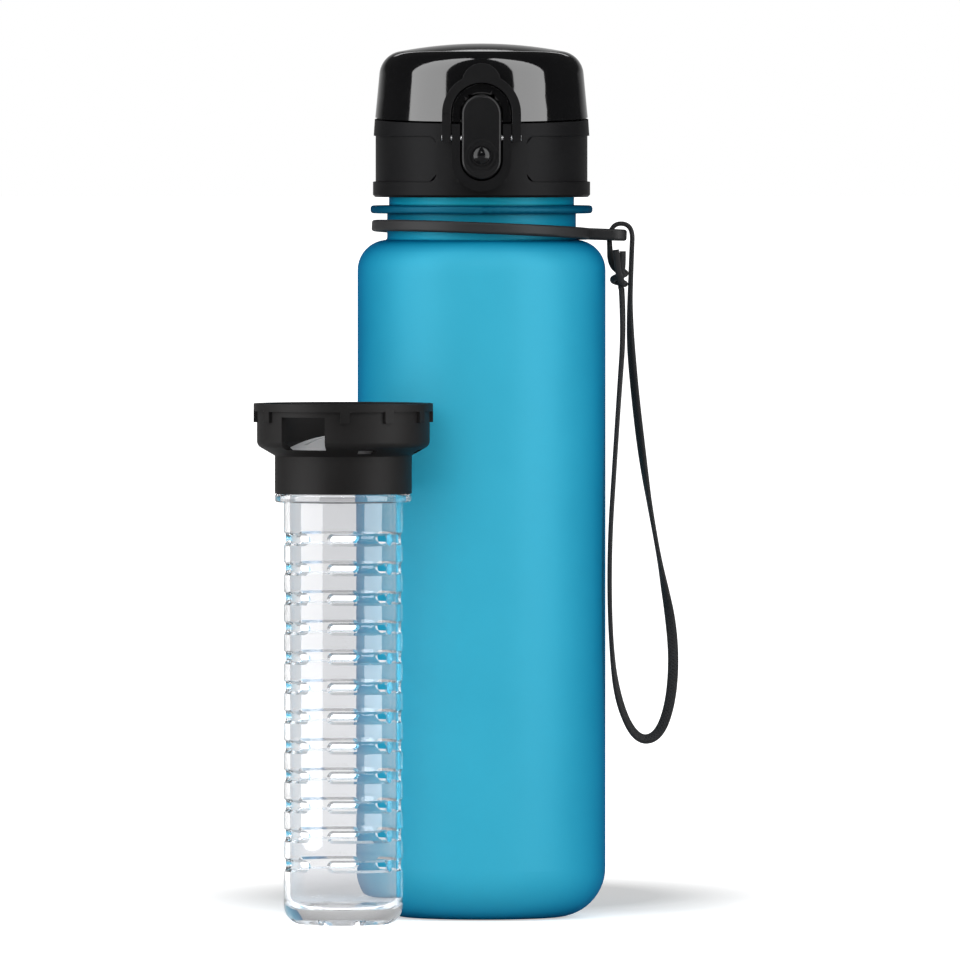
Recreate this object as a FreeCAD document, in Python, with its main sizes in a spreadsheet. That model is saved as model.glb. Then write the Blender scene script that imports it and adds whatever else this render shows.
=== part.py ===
import FreeCAD, Part
import Sketcher
import math
import os

Vector = FreeCAD.Vector
doc = FreeCAD.newDocument("fruit_infuser_bottle")

# Sizes in millimetres and degrees, each set on its own
sizes = {
    "body_radius": "32.5",
    "body_wall": "1.8",
    "body_height": "177.5",
    "base_corner": "13",
    "base_ring_width": "5",
    "base_recess": "2",
    "base_slope": "1.5",
    "base_inner_slope": "1",
    "root_fillet": "0.6",
    "shoulder_round": "8",
    "shoulder_cut": "0.25",
    "neck_room": "3.9",
    "neck_step": "0.5",
    "neck_wall": "1.55",
    "flange_reach": "4.35",
    "flange_thickness": "2.1",
    "flange_edge": "0.8",
    "collar_gap": "2.2",
    "collar_height": "20.35",
    "thread_room": "1.45",
    "collar_wall": "2.75",
    "collar_band": "3.8",
    "collar_top_wall": "2",
    "collar_chamfer": "0.6",
    "waist_draw": "0.2",
    "lip_draw": "0.55",
    "lip_height": "4.2",
    "seam_drop": "1.15",
    "deck_drop": "3.2",
    "deck_thickness": "2",
    "gasket_thickness": "1.4",
    "gasket_gap": "0.1",
    "gasket_clearance": "0.3",
    "gasket_inset": "0.5",
    "grip_depth": "0.5",
    "grip_angle": "131",
    "grip_corner": "2.3",
    "spout_radius": "8.5",
    "spout_wall": "2",
    "spout_forward": "5",
    "frame_half_width": "7.7",
    "frame_reach": "2.15",
    "frame_root": "0.6",
    "frame_lift": "1.6",
    "frame_rim": "2.7",
    "pocket_depth": "3.6",
    "button_half_width": "5.2",
    "button_clearance": "0.4",
    "button_up": "11.3",
    "button_thickness": "2.6",
    "button_proud": "0.3",
    "button_edge": "0.8",
    "thumb_drop": "4.6",
    "thumb_radius": "2.3",
    "thumb_height": "0.8",
    "thumb_ring_near": "3",
    "thumb_ring_far": "4.1",
    "thumb_ring_width": "0.35",
    "thumb_ring_height": "0.15",
    "latch_drop": "4.8",
    "latch_reach": "0.85",
    "latch_pin_radius": "0.75",
    "latch_pin_overhang": "0.1",
    "pin_clearance": "0.05",
    "turn_clearance": "0.3",
    "button_spring_radius": "1.6",
    "button_spring_wire": "0.4",
    "button_spring_turns": "2",
    "button_spring_seat": "0.1",
    "button_spring_reach": "0.25",
    "socket_floor": "1",
    "loop_clearance": "0.3",
    "loop_width": "2.3",
    "loop_thickness": "2",
    "loop_tab_radius": "5",
    "loop_tab_rise": "0.1",
    "seam_gap": "0.5",
    "cover_step": "0.5",
    "cover_height": "19.35",
    "cover_taper": "1.65",
    "cover_crown": "3.1",
    "cover_corner": "6.5",
    "cover_wall": "1.8",
    "rib_inset": "0.2",
    "rib_gap": "0.7",
    "rib_reach": "0.75",
    "rib_lean": "0.75",
    "catch_half_width": "3.4",
    "catch_bar": "2.6",
    "liner_thickness": "1.6",
    "liner_clearance": "0.3",
    "liner_drop": "2.2",
    "seal_gap": "0.2",
    "seal_thickness": "2.1",
    "seal_clearance": "0.4",
    "seal_lip": "1.2",
    "seal_skirt": "1.1",
    "ear_clearance": "0.35",
    "hinge_rise": "0.2",
    "hinge_pin_radius": "1",
    "ear_radius": "2.5",
    "ear_width": "2.7",
    "ear_root": "0.8",
    "knuckle_width": "3.8",
    "knuckle_gap": "0.3",
    "knuckle_room": "0.75",
    "hinge_spring_wire": "0.7",
    "hinge_spring_radius": "1.75",
    "hinge_spring_turns": "3",
    "hinge_spring_gap": "0.5",
    "hinge_spring_leg": "1.2",
    "ring_clearance": "1.45",
    "ring_width": "2.6",
    "ring_height": "3",
    "ring_lift": "1.1",
    "ring_edge": "0.7",
    "ring_tilt": "2.2",
    "ring_pitch": "1.4",
    "tab_reach": "9.3",
    "tab_width": "7.6",
    "tab_hole_radius": "1.9",
    "tab_hole_inset": "4.5",
    "cord_diameter": "1.8",
    "cord_arch": "3",
    "cord_beyond": "1.5",
    "knot_radius": "1.8",
    "knot_height": "5",
    "knot_tail_near": "7.4",
    "knot_tail_far": "7",
    "infuser_left": "35.9",
    "infuser_gap": "2.428",
    "tube_room": "7.2",
    "tube_wall": "1.6",
    "tube_height": "120.4",
    "tube_corner": "5",
    "tube_foot": "2.2",
    "tube_floor": "2",
    "tube_flange_reach": "2.25",
    "spigot_height": "8.5",
    "tube_flange_thickness": "2.2",
    "slot_drop": "9.5",
    "slot_low": "15.5",
    "slot_height": "2",
    "slot_flare": "0.65",
    "slot_angle": "59",
    "slot_count": "12",
    "slot_turn": "20",
    "drain_width": "2.4",
    "head_clearance": "0.25",
    "head_gap": "0.1",
    "head_wall": "2.05",
    "head_cone_rise": "1.1",
    "head_neck_clearance": "0.25",
    "head_cup_round": "2",
    "head_cone_height": "2.7",
    "head_cup_height": "8.9",
    "head_flange_reach": "0.85",
    "head_flange_height": "2",
    "head_cup_wall": "1.7",
    "ledge_thickness": "1.7",
    "ledge_step": "1.2",
    "head_tab_width": "2.5",
    "head_tab_height": "2.9",
    "head_window_angle": "33",
    "head_window_drop": "1.4",
    "head_turn": "-118.5",
    "strainer_rim": "1.2",
    "strainer_clearance": "1",
    "strainer_rise": "3.6",
    "strainer_slot": "1.6",
    "strainer_hub": "4.6",
}
sheet = doc.addObject("Spreadsheet::Sheet", "size")
for row, (name, text) in enumerate(sizes.items(), start=1):
    sheet.set(f"A{row}", text)
    sheet.setAlias(f"A{row}", name)
doc.recompute()

# Levels and radii that several pieces share, as expressions on the sheet
base_ring_outer = "(size.body_radius - size.base_corner)"
base_ring_inner = f"({base_ring_outer} - size.base_ring_width)"
shoulder_inner = "(size.body_radius - size.shoulder_round)"
neck_root = f"({shoulder_inner} + size.shoulder_cut)"
shoulder_top = ("(size.body_height - size.shoulder_round + sqrt(size.shoulder_round^2"
                " - (size.shoulder_cut + size.root_fillet)^2))")
neck_radius = f"({neck_root} - size.neck_step)"
neck_bore = f"({neck_radius} - size.neck_wall)"
flange_radius = f"({neck_root} + size.flange_reach)"
flange_bottom = "(size.body_height + size.ring_height + size.neck_room)"
flange_top = f"({flange_bottom} + size.flange_thickness)"
collar_bore = f"({neck_radius} + size.thread_room)"
collar_radius = f"({collar_bore} + size.collar_wall)"
collar_bottom = f"({flange_top} + size.collar_gap)"
collar_top = f"({collar_bottom} + size.collar_height)"
collar_waist = f"({collar_radius} - size.waist_draw)"
collar_lip = f"({collar_radius} - size.lip_draw)"
deck_top = f"({collar_top} - size.deck_drop)"
deck_bottom = f"({deck_top} - size.deck_thickness)"
rim_top = f"({deck_bottom} - size.gasket_thickness - size.gasket_gap)"
cover_bottom = f"({collar_top} + size.seam_gap)"
cover_top = f"({cover_bottom} + size.cover_height)"
cover_radius = f"({collar_radius} - size.cover_step)"
cover_shoulder = f"({cover_radius} - size.cover_taper)"
crown_inner = f"({cover_top} - size.cover_wall - size.cover_crown * 0.87)"
liner_top = f"({crown_inner} - size.liner_drop)"
liner_bottom = f"({liner_top} - size.liner_thickness)"
spout_top = f"({liner_bottom} - size.seal_thickness - size.seal_gap)"
hinge_y = f"({cover_radius} + size.ear_clearance + size.ear_radius)"
hinge_z = f"({collar_top} + size.seam_drop + size.hinge_rise)"
frame_front = f"({collar_radius} + size.frame_reach)"
pin_depth = f"({collar_radius} + size.latch_reach)"
pin_z = f"({collar_top} - size.latch_drop)"
pocket_half = "(size.button_half_width + size.button_clearance)"
pocket_floor = f"({frame_front} - size.pocket_depth)"
frame_bottom = f"({collar_bottom} + size.frame_lift)"
pocket_bottom = f"({frame_bottom} + size.frame_rim)"
button_front = f"({frame_front} + size.button_proud)"
button_back = f"({button_front} - size.button_thickness)"
button_top = f"({pin_z} + size.button_up)"
button_bottom = f"({pocket_bottom} + size.button_clearance)"
arch_centre = f"({button_top} + size.rib_gap - {pocket_half})"
rib_half = "(size.frame_half_width - size.rib_inset)"
loop_inner = "(size.frame_half_width + size.loop_clearance)"
loop_outer = f"({loop_inner} + size.loop_width)"
ring_level = "(size.body_height + size.ring_lift + size.ring_height / 2)"
ring_inner = f"({neck_root} + size.ring_clearance)"
ring_outer = f"({ring_inner} + size.ring_width)"
tab_end = f"({ring_outer} + size.tab_reach)"
tab_hole = f"({tab_end} - size.tab_hole_inset)"
tube_radius = f"({neck_bore} - size.tube_room)"
tube_bore = f"({tube_radius} - size.tube_wall)"
tube_flange_top = "(size.tube_height - size.spigot_height)"
tube_flange_bottom = f"({tube_flange_top} - size.tube_flange_thickness)"
slot_top = f"({tube_flange_bottom} - size.slot_drop)"
head_bottom = f"({tube_flange_top} + size.head_gap)"
head_bore = f"({tube_radius} + size.head_clearance)"
head_collar = f"({head_bore} + size.head_wall)"
ledge_bottom = "(size.tube_height + size.turn_clearance)"
ledge_top = f"({ledge_bottom} + size.ledge_thickness)"
head_cone_bottom = f"({ledge_bottom} + size.head_cone_rise)"
head_cone_top = f"({head_cone_bottom} + size.head_cone_height)"
head_cup = f"({neck_bore} - size.head_neck_clearance)"
head_flange_bottom = f"({head_cone_top} + size.head_cup_height)"
head_flange = f"({head_cup} + size.head_flange_reach)"
head_top = f"({head_flange_bottom} + size.head_flange_height)"
head_inner = f"({head_cup} - size.head_cup_wall)"
ledge_edge = f"({head_collar} - size.ledge_step)"
strainer_bottom = f"({ledge_top} + size.head_gap)"
strainer_radius = f"({ledge_edge} - size.strainer_clearance)"
infuser_reach = f"(size.body_radius + {head_flange} + size.infuser_gap)"
infuser_x = "-size.infuser_left"
infuser_y = f"-sqrt({infuser_reach}^2 - size.infuser_left^2)"


def number(expression):
    """Value of an expression on the sheet."""
    return float(sheet.evalExpression(expression))


def new_body(name):
    """An empty body with its own label."""
    body = doc.addObject("PartDesign::Body", name)
    body.Label = name
    return body


def origin_plane(body, role):
    """One of the body's own origin planes or axes."""
    for feature in body.Origin.OriginFeatures:
        if feature.Role == role:
            return feature
    raise ValueError(role)


def new_sketch(body, role, name, offset=None):
    """A sketch on an origin plane, moved along the plane's normal."""
    sketch = body.newObject("Sketcher::SketchObject", name)
    sketch.AttachmentSupport = [(origin_plane(body, role), "")]
    sketch.MapMode = "FlatFace"
    if offset is not None:
        sketch.setExpression("AttachmentOffset.Base.z", offset)
    return sketch


def place_point(sketch, curve, end, across, up):
    """Tie one point of a sketch to two expressions."""
    index = sketch.addConstraint(
        Sketcher.Constraint("DistanceX", -1, 1, curve, end, number(across)))
    sketch.setExpression(f"Constraints[{index}]", across)
    index = sketch.addConstraint(
        Sketcher.Constraint("DistanceY", -1, 1, curve, end, number(up)))
    sketch.setExpression(f"Constraints[{index}]", up)


def outline(sketch, corners):
    """A closed outline; a corner with a radius and a turn starts an arc."""
    points = [Vector(number(c[0]), number(c[1]), 0) for c in corners]
    count = len(points)
    curves = []
    for index, corner in enumerate(corners):
        here = points[index]
        there = points[(index + 1) % count]
        if len(corner) == 2:
            curves.append((sketch.addGeometry(Part.LineSegment(here, there)), 1, 2))
            continue
        radius = number(corner[2])
        chord = there - here
        side = Vector(-chord.y, chord.x, 0).normalize() * corner[3]
        reach = math.sqrt(max(radius * radius - chord.Length ** 2 / 4, 0))
        centre = (here + there) * 0.5 + side * reach
        first = math.atan2(here.y - centre.y, here.x - centre.x)
        last = math.atan2(there.y - centre.y, there.x - centre.x)
        circle = Part.Circle(centre, Vector(0, 0, 1), radius)
        if corner[3] > 0:
            curve = sketch.addGeometry(Part.ArcOfCircle(circle, first, last))
            curves.append((curve, 1, 2))
        else:
            curve = sketch.addGeometry(Part.ArcOfCircle(circle, last, first))
            curves.append((curve, 2, 1))
        ruler = sketch.addConstraint(Sketcher.Constraint("Radius", curve, radius))
        sketch.setExpression(f"Constraints[{ruler}]", corner[2])
    for index in range(count):
        here = curves[index]
        there = curves[(index + 1) % count]
        sketch.addConstraint(
            Sketcher.Constraint("Coincident", here[0], here[2], there[0], there[1]))
    for index, corner in enumerate(corners):
        place_point(sketch, curves[index][0], curves[index][1], corner[0], corner[1])


def disc(sketch, across, up, radius):
    """A circle tied to three expressions."""
    centre = Vector(number(across), number(up), 0)
    curve = sketch.addGeometry(Part.Circle(centre, Vector(0, 0, 1), number(radius)))
    place_point(sketch, curve, 3, across, up)
    index = sketch.addConstraint(Sketcher.Constraint("Radius", curve, number(radius)))
    sketch.setExpression(f"Constraints[{index}]", radius)


def box_outline(sketch, left, right, low, high):
    """A rectangle between four expressions."""
    outline(sketch, [(left, low), (right, low), (right, high), (left, high)])


def turned(body, name, corners):
    """A full turn of an outline about the body's upright axis."""
    sketch = new_sketch(body, "XZ_Plane", f"{name}_profile")
    outline(sketch, corners)
    doc.recompute()
    feature = body.newObject("PartDesign::Revolution", name)
    feature.Profile = sketch
    feature.ReferenceAxis = (sketch, ["V_Axis"])
    feature.Angle = 360
    sketch.Visibility = False
    doc.recompute()
    return feature


def feature_from(body, kind, name, sketch, length, backwards=False, both=False):
    """A pad or pocket whose length is an expression."""
    doc.recompute()
    feature = body.newObject(f"PartDesign::{kind}", name)
    feature.Profile = sketch
    feature.setExpression("Length", length)
    feature.Reversed = backwards
    if both:
        feature.SideType = "Symmetric"
    sketch.Visibility = False
    doc.recompute()
    return feature


def part_turn(body, name, sketch, angle):
    """A groove through part of a turn, centred on its sketch."""
    doc.recompute()
    feature = body.newObject("PartDesign::Groove", name)
    feature.Profile = sketch
    feature.ReferenceAxis = (sketch, ["V_Axis"])
    feature.setExpression("Angle", angle)
    feature.Midplane = True
    sketch.Visibility = False
    doc.recompute()
    return feature


def around(body, name, originals, count):
    """Even copies of features about the body's upright axis."""
    feature = body.newObject("PartDesign::PolarPattern", name)
    feature.Originals = originals
    feature.Axis = (origin_plane(body, "Z_Axis"), [""])
    feature.Angle = 360
    feature.Occurrences = count
    body.Tip = feature
    doc.recompute()
    return feature


def rounded(body, name, base, radius, test):
    """A fillet on the edges of a feature that pass a test."""
    names = []
    for index, edge in enumerate(base.Shape.Edges):
        if test(edge):
            names.append(f"Edge{index + 1}")
    feature = body.newObject("PartDesign::Fillet", name)
    feature.Base = (base, names)
    feature.setExpression("Radius", radius)
    doc.recompute()
    return feature


def is_ring(edge, radius, level):
    """True for a circle about the upright axis at a radius and level."""
    if edge.Degenerated or edge.Curve.TypeId != "Part::GeomCircle":
        return False
    centre = edge.Curve.Center
    return abs(edge.Curve.Radius - radius) < 0.02 and abs(centre.z - level) < 0.02


def stadium_low(half, centre, top):
    """Outline of a slot with a flat top and a round bottom."""
    return [
        (f"-{half}", top),
        (f"-{half}", centre, half, 1),
        ("0", f"{centre} - {half}", half, 1),
        (half, centre),
        (half, top),
    ]


# Bottle body: one blown shell with a raised base, round shoulder, neck and support flange
bottle_body = new_body("bottle_body")
turned(bottle_body, "bottle_shell", [
    ("0", "size.base_recess"),
    (f"{base_ring_inner} - size.base_slope", "size.base_recess"),
    (base_ring_inner, "0"),
    (base_ring_outer, "0", "size.base_corner", 1),
    ("size.body_radius", "size.base_corner"),
    ("size.body_radius", "size.body_height - size.shoulder_round", "size.shoulder_round", 1),
    (f"{neck_root} + size.root_fillet", shoulder_top, "size.root_fillet", -1),
    (neck_root, f"{shoulder_top} + size.root_fillet"),
    (neck_root, flange_bottom),
    (f"{flange_radius} - size.flange_edge", flange_bottom, "size.flange_edge", 1),
    (flange_radius, f"{flange_bottom} + size.flange_edge"),
    (flange_radius, f"{flange_top} - size.flange_edge", "size.flange_edge", 1),
    (f"{flange_radius} - size.flange_edge", flange_top),
    (neck_radius, flange_top),
    (neck_radius, rim_top),
    (neck_bore, rim_top),
    (neck_bore, "size.body_height - size.body_wall"),
    (shoulder_inner, "size.body_height - size.body_wall",
     "size.shoulder_round - size.body_wall", -1),
    ("size.body_radius - size.body_wall", "size.body_height - size.shoulder_round"),
    ("size.body_radius - size.body_wall", "size.base_corner",
     "size.base_corner - size.body_wall", -1),
    (base_ring_outer, "size.body_wall"),
    (f"{base_ring_inner} + size.base_inner_slope", "size.base_recess + size.body_wall"),
    ("0", "size.base_recess + size.body_wall"),
])

# Neck gasket: flat silicone ring between the neck rim and the lid's deck
neck_gasket = new_body("neck_gasket")
turned(neck_gasket, "gasket_ring", [
    (f"{neck_bore} + size.gasket_inset", f"{rim_top} + size.gasket_gap"),
    (f"{collar_bore} - size.gasket_clearance", f"{rim_top} + size.gasket_gap"),
    (f"{collar_bore} - size.gasket_clearance", deck_bottom),
    (f"{neck_bore} + size.gasket_inset", deck_bottom),
])

# Lid collar: skirt, deck and spout in one moulding, with the button frame and hinge ears
lid_collar = new_body("lid_collar")
turned(lid_collar, "collar_skirt", [
    (collar_bore, collar_bottom),
    (f"{collar_radius} - size.collar_chamfer", collar_bottom),
    (collar_radius, f"{collar_bottom} + size.collar_chamfer"),
    (collar_radius, f"{collar_bottom} + size.collar_band"),
    (collar_waist, f"{collar_top} - size.lip_height"),
    (collar_lip, f"{collar_top} + size.seam_drop"),
    (f"{collar_lip} - size.collar_top_wall", f"{collar_top} + size.seam_drop"),
    (f"{collar_lip} - size.collar_top_wall", deck_top),
    ("0", deck_top),
    ("0", deck_bottom),
    (collar_bore, deck_bottom),
])
sketch = new_sketch(lid_collar, "XZ_Plane", "grip_profile")
outline(sketch, [
    (f"{collar_radius} + 1", f"{collar_bottom} + size.collar_band"),
    (f"{collar_radius} + 1", f"{collar_top} - size.lip_height + 0.1"),
    (f"{collar_waist} - size.grip_depth", f"{collar_top} - size.lip_height - 0.2"),
    (f"{collar_waist} - size.grip_depth", f"{collar_bottom} + size.collar_band + 0.3"),
])
grip = part_turn(lid_collar, "grip_recess", sketch, "size.grip_angle")
grips = around(lid_collar, "grip_recesses", [grip], 2)
grip_low = number(f"{collar_bottom} + size.collar_band")
grip_high = number(f"{collar_top} - size.lip_height + 0.1")


def is_grip_corner(edge):
    """True for the short edges at the four corners of each grip recess."""
    if edge.Degenerated or edge.Length > 1.5:
        return False
    inside = all(grip_low - 0.1 < v.Point.z < grip_high + 0.1 for v in edge.Vertexes)
    outward = [math.hypot(v.Point.x, v.Point.y) for v in edge.Vertexes]
    return inside and max(outward) - min(outward) > 0.2


rounded(lid_collar, "grip_corners", grips, "size.grip_corner", is_grip_corner)
sketch = new_sketch(lid_collar, "XZ_Plane", "frame_outline", f"{collar_bore} + size.frame_root")
outline(sketch, stadium_low("size.frame_half_width",
                            f"({frame_bottom} + size.frame_half_width)", collar_top))
feature_from(lid_collar, "Pad", "button_frame", sketch,
             f"{frame_front} - {collar_bore} - size.frame_root")
sketch = new_sketch(lid_collar, "XZ_Plane", "pocket_outline", frame_front)
outline(sketch, stadium_low(pocket_half, f"({pocket_bottom} + {pocket_half})",
                            f"{collar_top} + 1"))
feature_from(lid_collar, "Pocket", "button_pocket", sketch, "size.pocket_depth")
sketch = new_sketch(lid_collar, "YZ_Plane", "latch_pin_hole_outline")
disc(sketch, f"-{pin_depth}", pin_z, "size.latch_pin_radius + size.pin_clearance")
feature_from(lid_collar, "Pocket", "latch_pin_hole", sketch,
             "size.frame_half_width * 2 + 2", both=True)
cut_side = f"({frame_front} * 1.2)"
cut_slope = f"({cut_side} * size.seam_drop / {collar_radius})"
sketch = new_sketch(lid_collar, "YZ_Plane", "collar_seam_outline")
outline(sketch, [
    (f"-{cut_side}", f"{collar_top} - {cut_slope}"),
    (cut_side, f"{collar_top} + {cut_slope}"),
    (cut_side, f"{collar_top} + {cut_slope} * 3"),
    (f"-{cut_side}", f"{collar_top} + {cut_slope} * 3"),
])
feature_from(lid_collar, "Pocket", "collar_seam", sketch, f"{cut_side} * 2", both=True)
sketch = new_sketch(lid_collar, "XY_Plane", "spout_outline", deck_bottom)
disc(sketch, "0", "-size.spout_forward", "size.spout_radius")
feature_from(lid_collar, "Pad", "spout", sketch, f"{spout_top} - {deck_bottom}")
sketch = new_sketch(lid_collar, "XY_Plane", "spout_bore_outline", spout_top)
disc(sketch, "0", "-size.spout_forward", "size.spout_radius - size.spout_wall")
feature_from(lid_collar, "Pocket", "spout_bore", sketch,
             f"{spout_top} - {deck_bottom} + 1")
spring_half = ("((size.hinge_spring_wire + size.hinge_spring_gap)"
               " * (size.hinge_spring_turns + 0.5) / 2 + size.hinge_spring_wire / 2)")
knuckle_side = f"({spring_half} + size.knuckle_room)"
ear_side = f"({knuckle_side} + size.knuckle_width + size.knuckle_gap)"
hinge_half = f"({ear_side} + size.ear_width)"
sketch = new_sketch(lid_collar, "YZ_Plane", "ear_outline", ear_side)
outline(sketch, [
    (f"{collar_bore} + size.ear_root", f"{collar_top} - size.ear_radius - 1.2"),
    (hinge_y, f"{hinge_z} - size.ear_radius", "size.ear_radius", 1),
    (f"{hinge_y} + size.ear_radius", hinge_z, "size.ear_radius", 1),
    (hinge_y, f"{hinge_z} + size.ear_radius", "size.ear_radius", 1),
    (f"{hinge_y} - size.ear_radius", hinge_z),
    (f"{collar_bore} + size.ear_root", f"{collar_top} - 0.4"),
])
ear = feature_from(lid_collar, "Pad", "hinge_ear", sketch, "size.ear_width")
ears = lid_collar.newObject("PartDesign::Mirrored", "hinge_ears")
ears.Originals = [ear]
ears.MirrorPlane = (origin_plane(lid_collar, "YZ_Plane"), [""])
lid_collar.Tip = ears
doc.recompute()
sketch = new_sketch(lid_collar, "YZ_Plane", "hinge_pin_hole_outline")
disc(sketch, hinge_y, hinge_z, "size.hinge_pin_radius + size.pin_clearance")
feature_from(lid_collar, "Pocket", "hinge_pin_hole", sketch, f"{hinge_half} * 2 + 2", both=True)

# Flip cover: domed shell with the arch round the button top, catch window and two knuckles
flip_cover = new_body("flip_cover")
shell = turned(flip_cover, "cover_shell", [
    (f"{cover_radius} - size.cover_wall", f"{cover_bottom} - size.seam_drop"),
    (cover_radius, f"{cover_bottom} - size.seam_drop"),
    (cover_shoulder, f"{cover_top} - size.cover_crown",
     f"({cover_shoulder}^2 + size.cover_crown^2) / (2 * size.cover_crown)", 1),
    ("0", cover_top),
    ("0", f"{cover_top} - size.cover_wall",
     f"(({cover_shoulder} - size.cover_wall)^2 + (size.cover_crown * 0.87)^2)"
     " / (2 * size.cover_crown * 0.87)", -1),
    (f"{cover_shoulder} - size.cover_wall",
     crown_inner),
])
crown_radius = number(cover_shoulder)
crown_level = number(f"{cover_top} - size.cover_crown")
corner = rounded(flip_cover, "cover_corner_round", shell, "size.cover_corner",
                 lambda edge: is_ring(edge, crown_radius, crown_level))
hollow_radius = number(f"{cover_shoulder} - size.cover_wall")
hollow_level = number(crown_inner)
rounded(flip_cover, "cover_hollow_round", corner, "size.cover_corner - size.cover_wall",
        lambda edge: is_ring(edge, hollow_radius, hollow_level))
arch_bottom = f"({cover_bottom} - size.seam_drop)"
sketch = new_sketch(flip_cover, "XZ_Plane", "arch_outline",
                    f"{cover_shoulder} - size.cover_wall + 0.95")
outline(sketch, [
    (f"-{rib_half}", arch_bottom),
    (f"-{pocket_half}", arch_bottom),
    (f"-{pocket_half}", arch_centre, pocket_half, -1),
    ("0", f"{arch_centre} + {pocket_half}", pocket_half, -1),
    (pocket_half, arch_centre),
    (pocket_half, arch_bottom),
    (rib_half, arch_bottom),
    (rib_half, arch_centre, rib_half, 1),
    ("0", f"{arch_centre} + {rib_half}", rib_half, 1),
    (f"-{rib_half}", arch_centre),
])
feature_from(flip_cover, "Pad", "button_arch", sketch,
             f"{cover_radius} + size.rib_reach + 0.1 - {cover_shoulder} + size.cover_wall - 0.95")
sketch = new_sketch(flip_cover, "YZ_Plane", "arch_slope_outline")
outline(sketch, [
    (f"-{cover_radius} - size.rib_reach", arch_bottom),
    (f"-{cover_radius} - size.rib_reach + size.rib_lean",
     f"{arch_centre} + {rib_half} + 0.1"),
    (f"-{cover_radius} - size.rib_reach - 2", f"{arch_centre} + {rib_half} + 0.1"),
    (f"-{cover_radius} - size.rib_reach - 2", arch_bottom),
])
feature_from(flip_cover, "Pocket", "arch_slope", sketch, f"{rib_half} * 2 + 2", both=True)
sketch = new_sketch(flip_cover, "YZ_Plane", "cover_seam_outline")
outline(sketch, [
    (f"-{cut_side}", f"{cover_bottom} - {cut_slope}"),
    (f"-{cut_side}", f"{cover_bottom} - {cut_slope} * 3"),
    (cut_side, f"{cover_bottom} - {cut_slope} * 3"),
    (cut_side, f"{cover_bottom} + {cut_slope}"),
])
feature_from(flip_cover, "Pocket", "cover_seam", sketch, f"{cut_side} * 2", both=True)
sketch = new_sketch(flip_cover, "XZ_Plane", "catch_window_outline", f"{cover_radius} + 1")
box_outline(sketch, "-size.catch_half_width", "size.catch_half_width",
            f"{cover_bottom} + size.catch_bar",
            button_top)
feature_from(flip_cover, "Pocket", "catch_window", sketch,
             "size.cover_wall + size.cover_taper + 2")
sketch = new_sketch(flip_cover, "YZ_Plane", "knuckle_outline", knuckle_side)
outline(sketch, [
    (f"{cover_radius} - size.cover_wall + 0.2", f"{cover_bottom} + size.seam_drop + 0.2"),
    (f"{hinge_y} - size.ear_radius + 0.1", f"{cover_bottom} + size.seam_drop + 0.2"),
    (f"{hinge_y} - size.ear_radius + 0.1", hinge_z, "size.ear_radius - 0.1", 1),
    (hinge_y, f"{hinge_z} - size.ear_radius + 0.1", "size.ear_radius - 0.1", 1),
    (f"{hinge_y} + size.ear_radius - 0.1", hinge_z, "size.ear_radius - 0.1", 1),
    (hinge_y, f"{hinge_z} + size.ear_radius - 0.1"),
    (f"{cover_radius} - size.cover_wall + 0.2", f"{hinge_z} + size.ear_radius - 0.1"),
])
knuckle = feature_from(flip_cover, "Pad", "hinge_knuckle", sketch, "size.knuckle_width")
knuckles = flip_cover.newObject("PartDesign::Mirrored", "hinge_knuckles")
knuckles.Originals = [knuckle]
knuckles.MirrorPlane = (origin_plane(flip_cover, "YZ_Plane"), [""])
flip_cover.Tip = knuckles
doc.recompute()
sketch = new_sketch(flip_cover, "YZ_Plane", "knuckle_hole_outline")
disc(sketch, hinge_y, hinge_z, "size.hinge_pin_radius + size.turn_clearance")
feature_from(flip_cover, "Pocket", "knuckle_hole", sketch, f"{hinge_half} * 2 + 2", both=True)

# Cover liner: flat plate clipped inside the cover, carrying the spout seal
liner_radius = (
    f"({cover_radius} - size.cover_wall - size.liner_clearance - size.cover_taper"
    f" * ({liner_top} - {cover_bottom}) / (size.cover_height - size.cover_wall"
    " - size.cover_crown * 0.87))")
cover_liner = new_body("cover_liner")
turned(cover_liner, "liner_plate", [
    ("0", liner_bottom),
    (liner_radius, liner_bottom),
    (liner_radius, liner_top),
    ("0", liner_top),
])

# Spout seal: soft cap under the liner with a low skirt round the top of the spout
spout_seal = new_body("spout_seal")
seal_inner = "(size.spout_radius + size.seal_clearance)"
turned(spout_seal, "seal_pad", [
    ("0", f"{spout_top} + size.seal_gap"),
    (seal_inner, f"{spout_top} + size.seal_gap"),
    (seal_inner, f"{spout_top} - size.seal_skirt"),
    (f"{seal_inner} + size.seal_lip", f"{spout_top} - size.seal_skirt"),
    (f"{seal_inner} + size.seal_lip", liner_bottom),
    ("0", liner_bottom),
])
spout_seal.setExpression("Placement.Base.y", "-size.spout_forward")

# Hinge pin: steel rod through the ears and knuckles
hinge_pin = doc.addObject("Part::Cylinder", "hinge_pin")
hinge_pin.Label = "hinge_pin"
hinge_pin.setExpression("Radius", "size.hinge_pin_radius")
hinge_pin.setExpression("Height", f"{hinge_half} * 2")
hinge_pin.Placement.Rotation = FreeCAD.Rotation(Vector(0, 1, 0), 90)
hinge_pin.setExpression("Placement.Base.x", f"-{hinge_half}")
hinge_pin.setExpression("Placement.Base.y", hinge_y)
hinge_pin.setExpression("Placement.Base.z", hinge_z)

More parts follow.
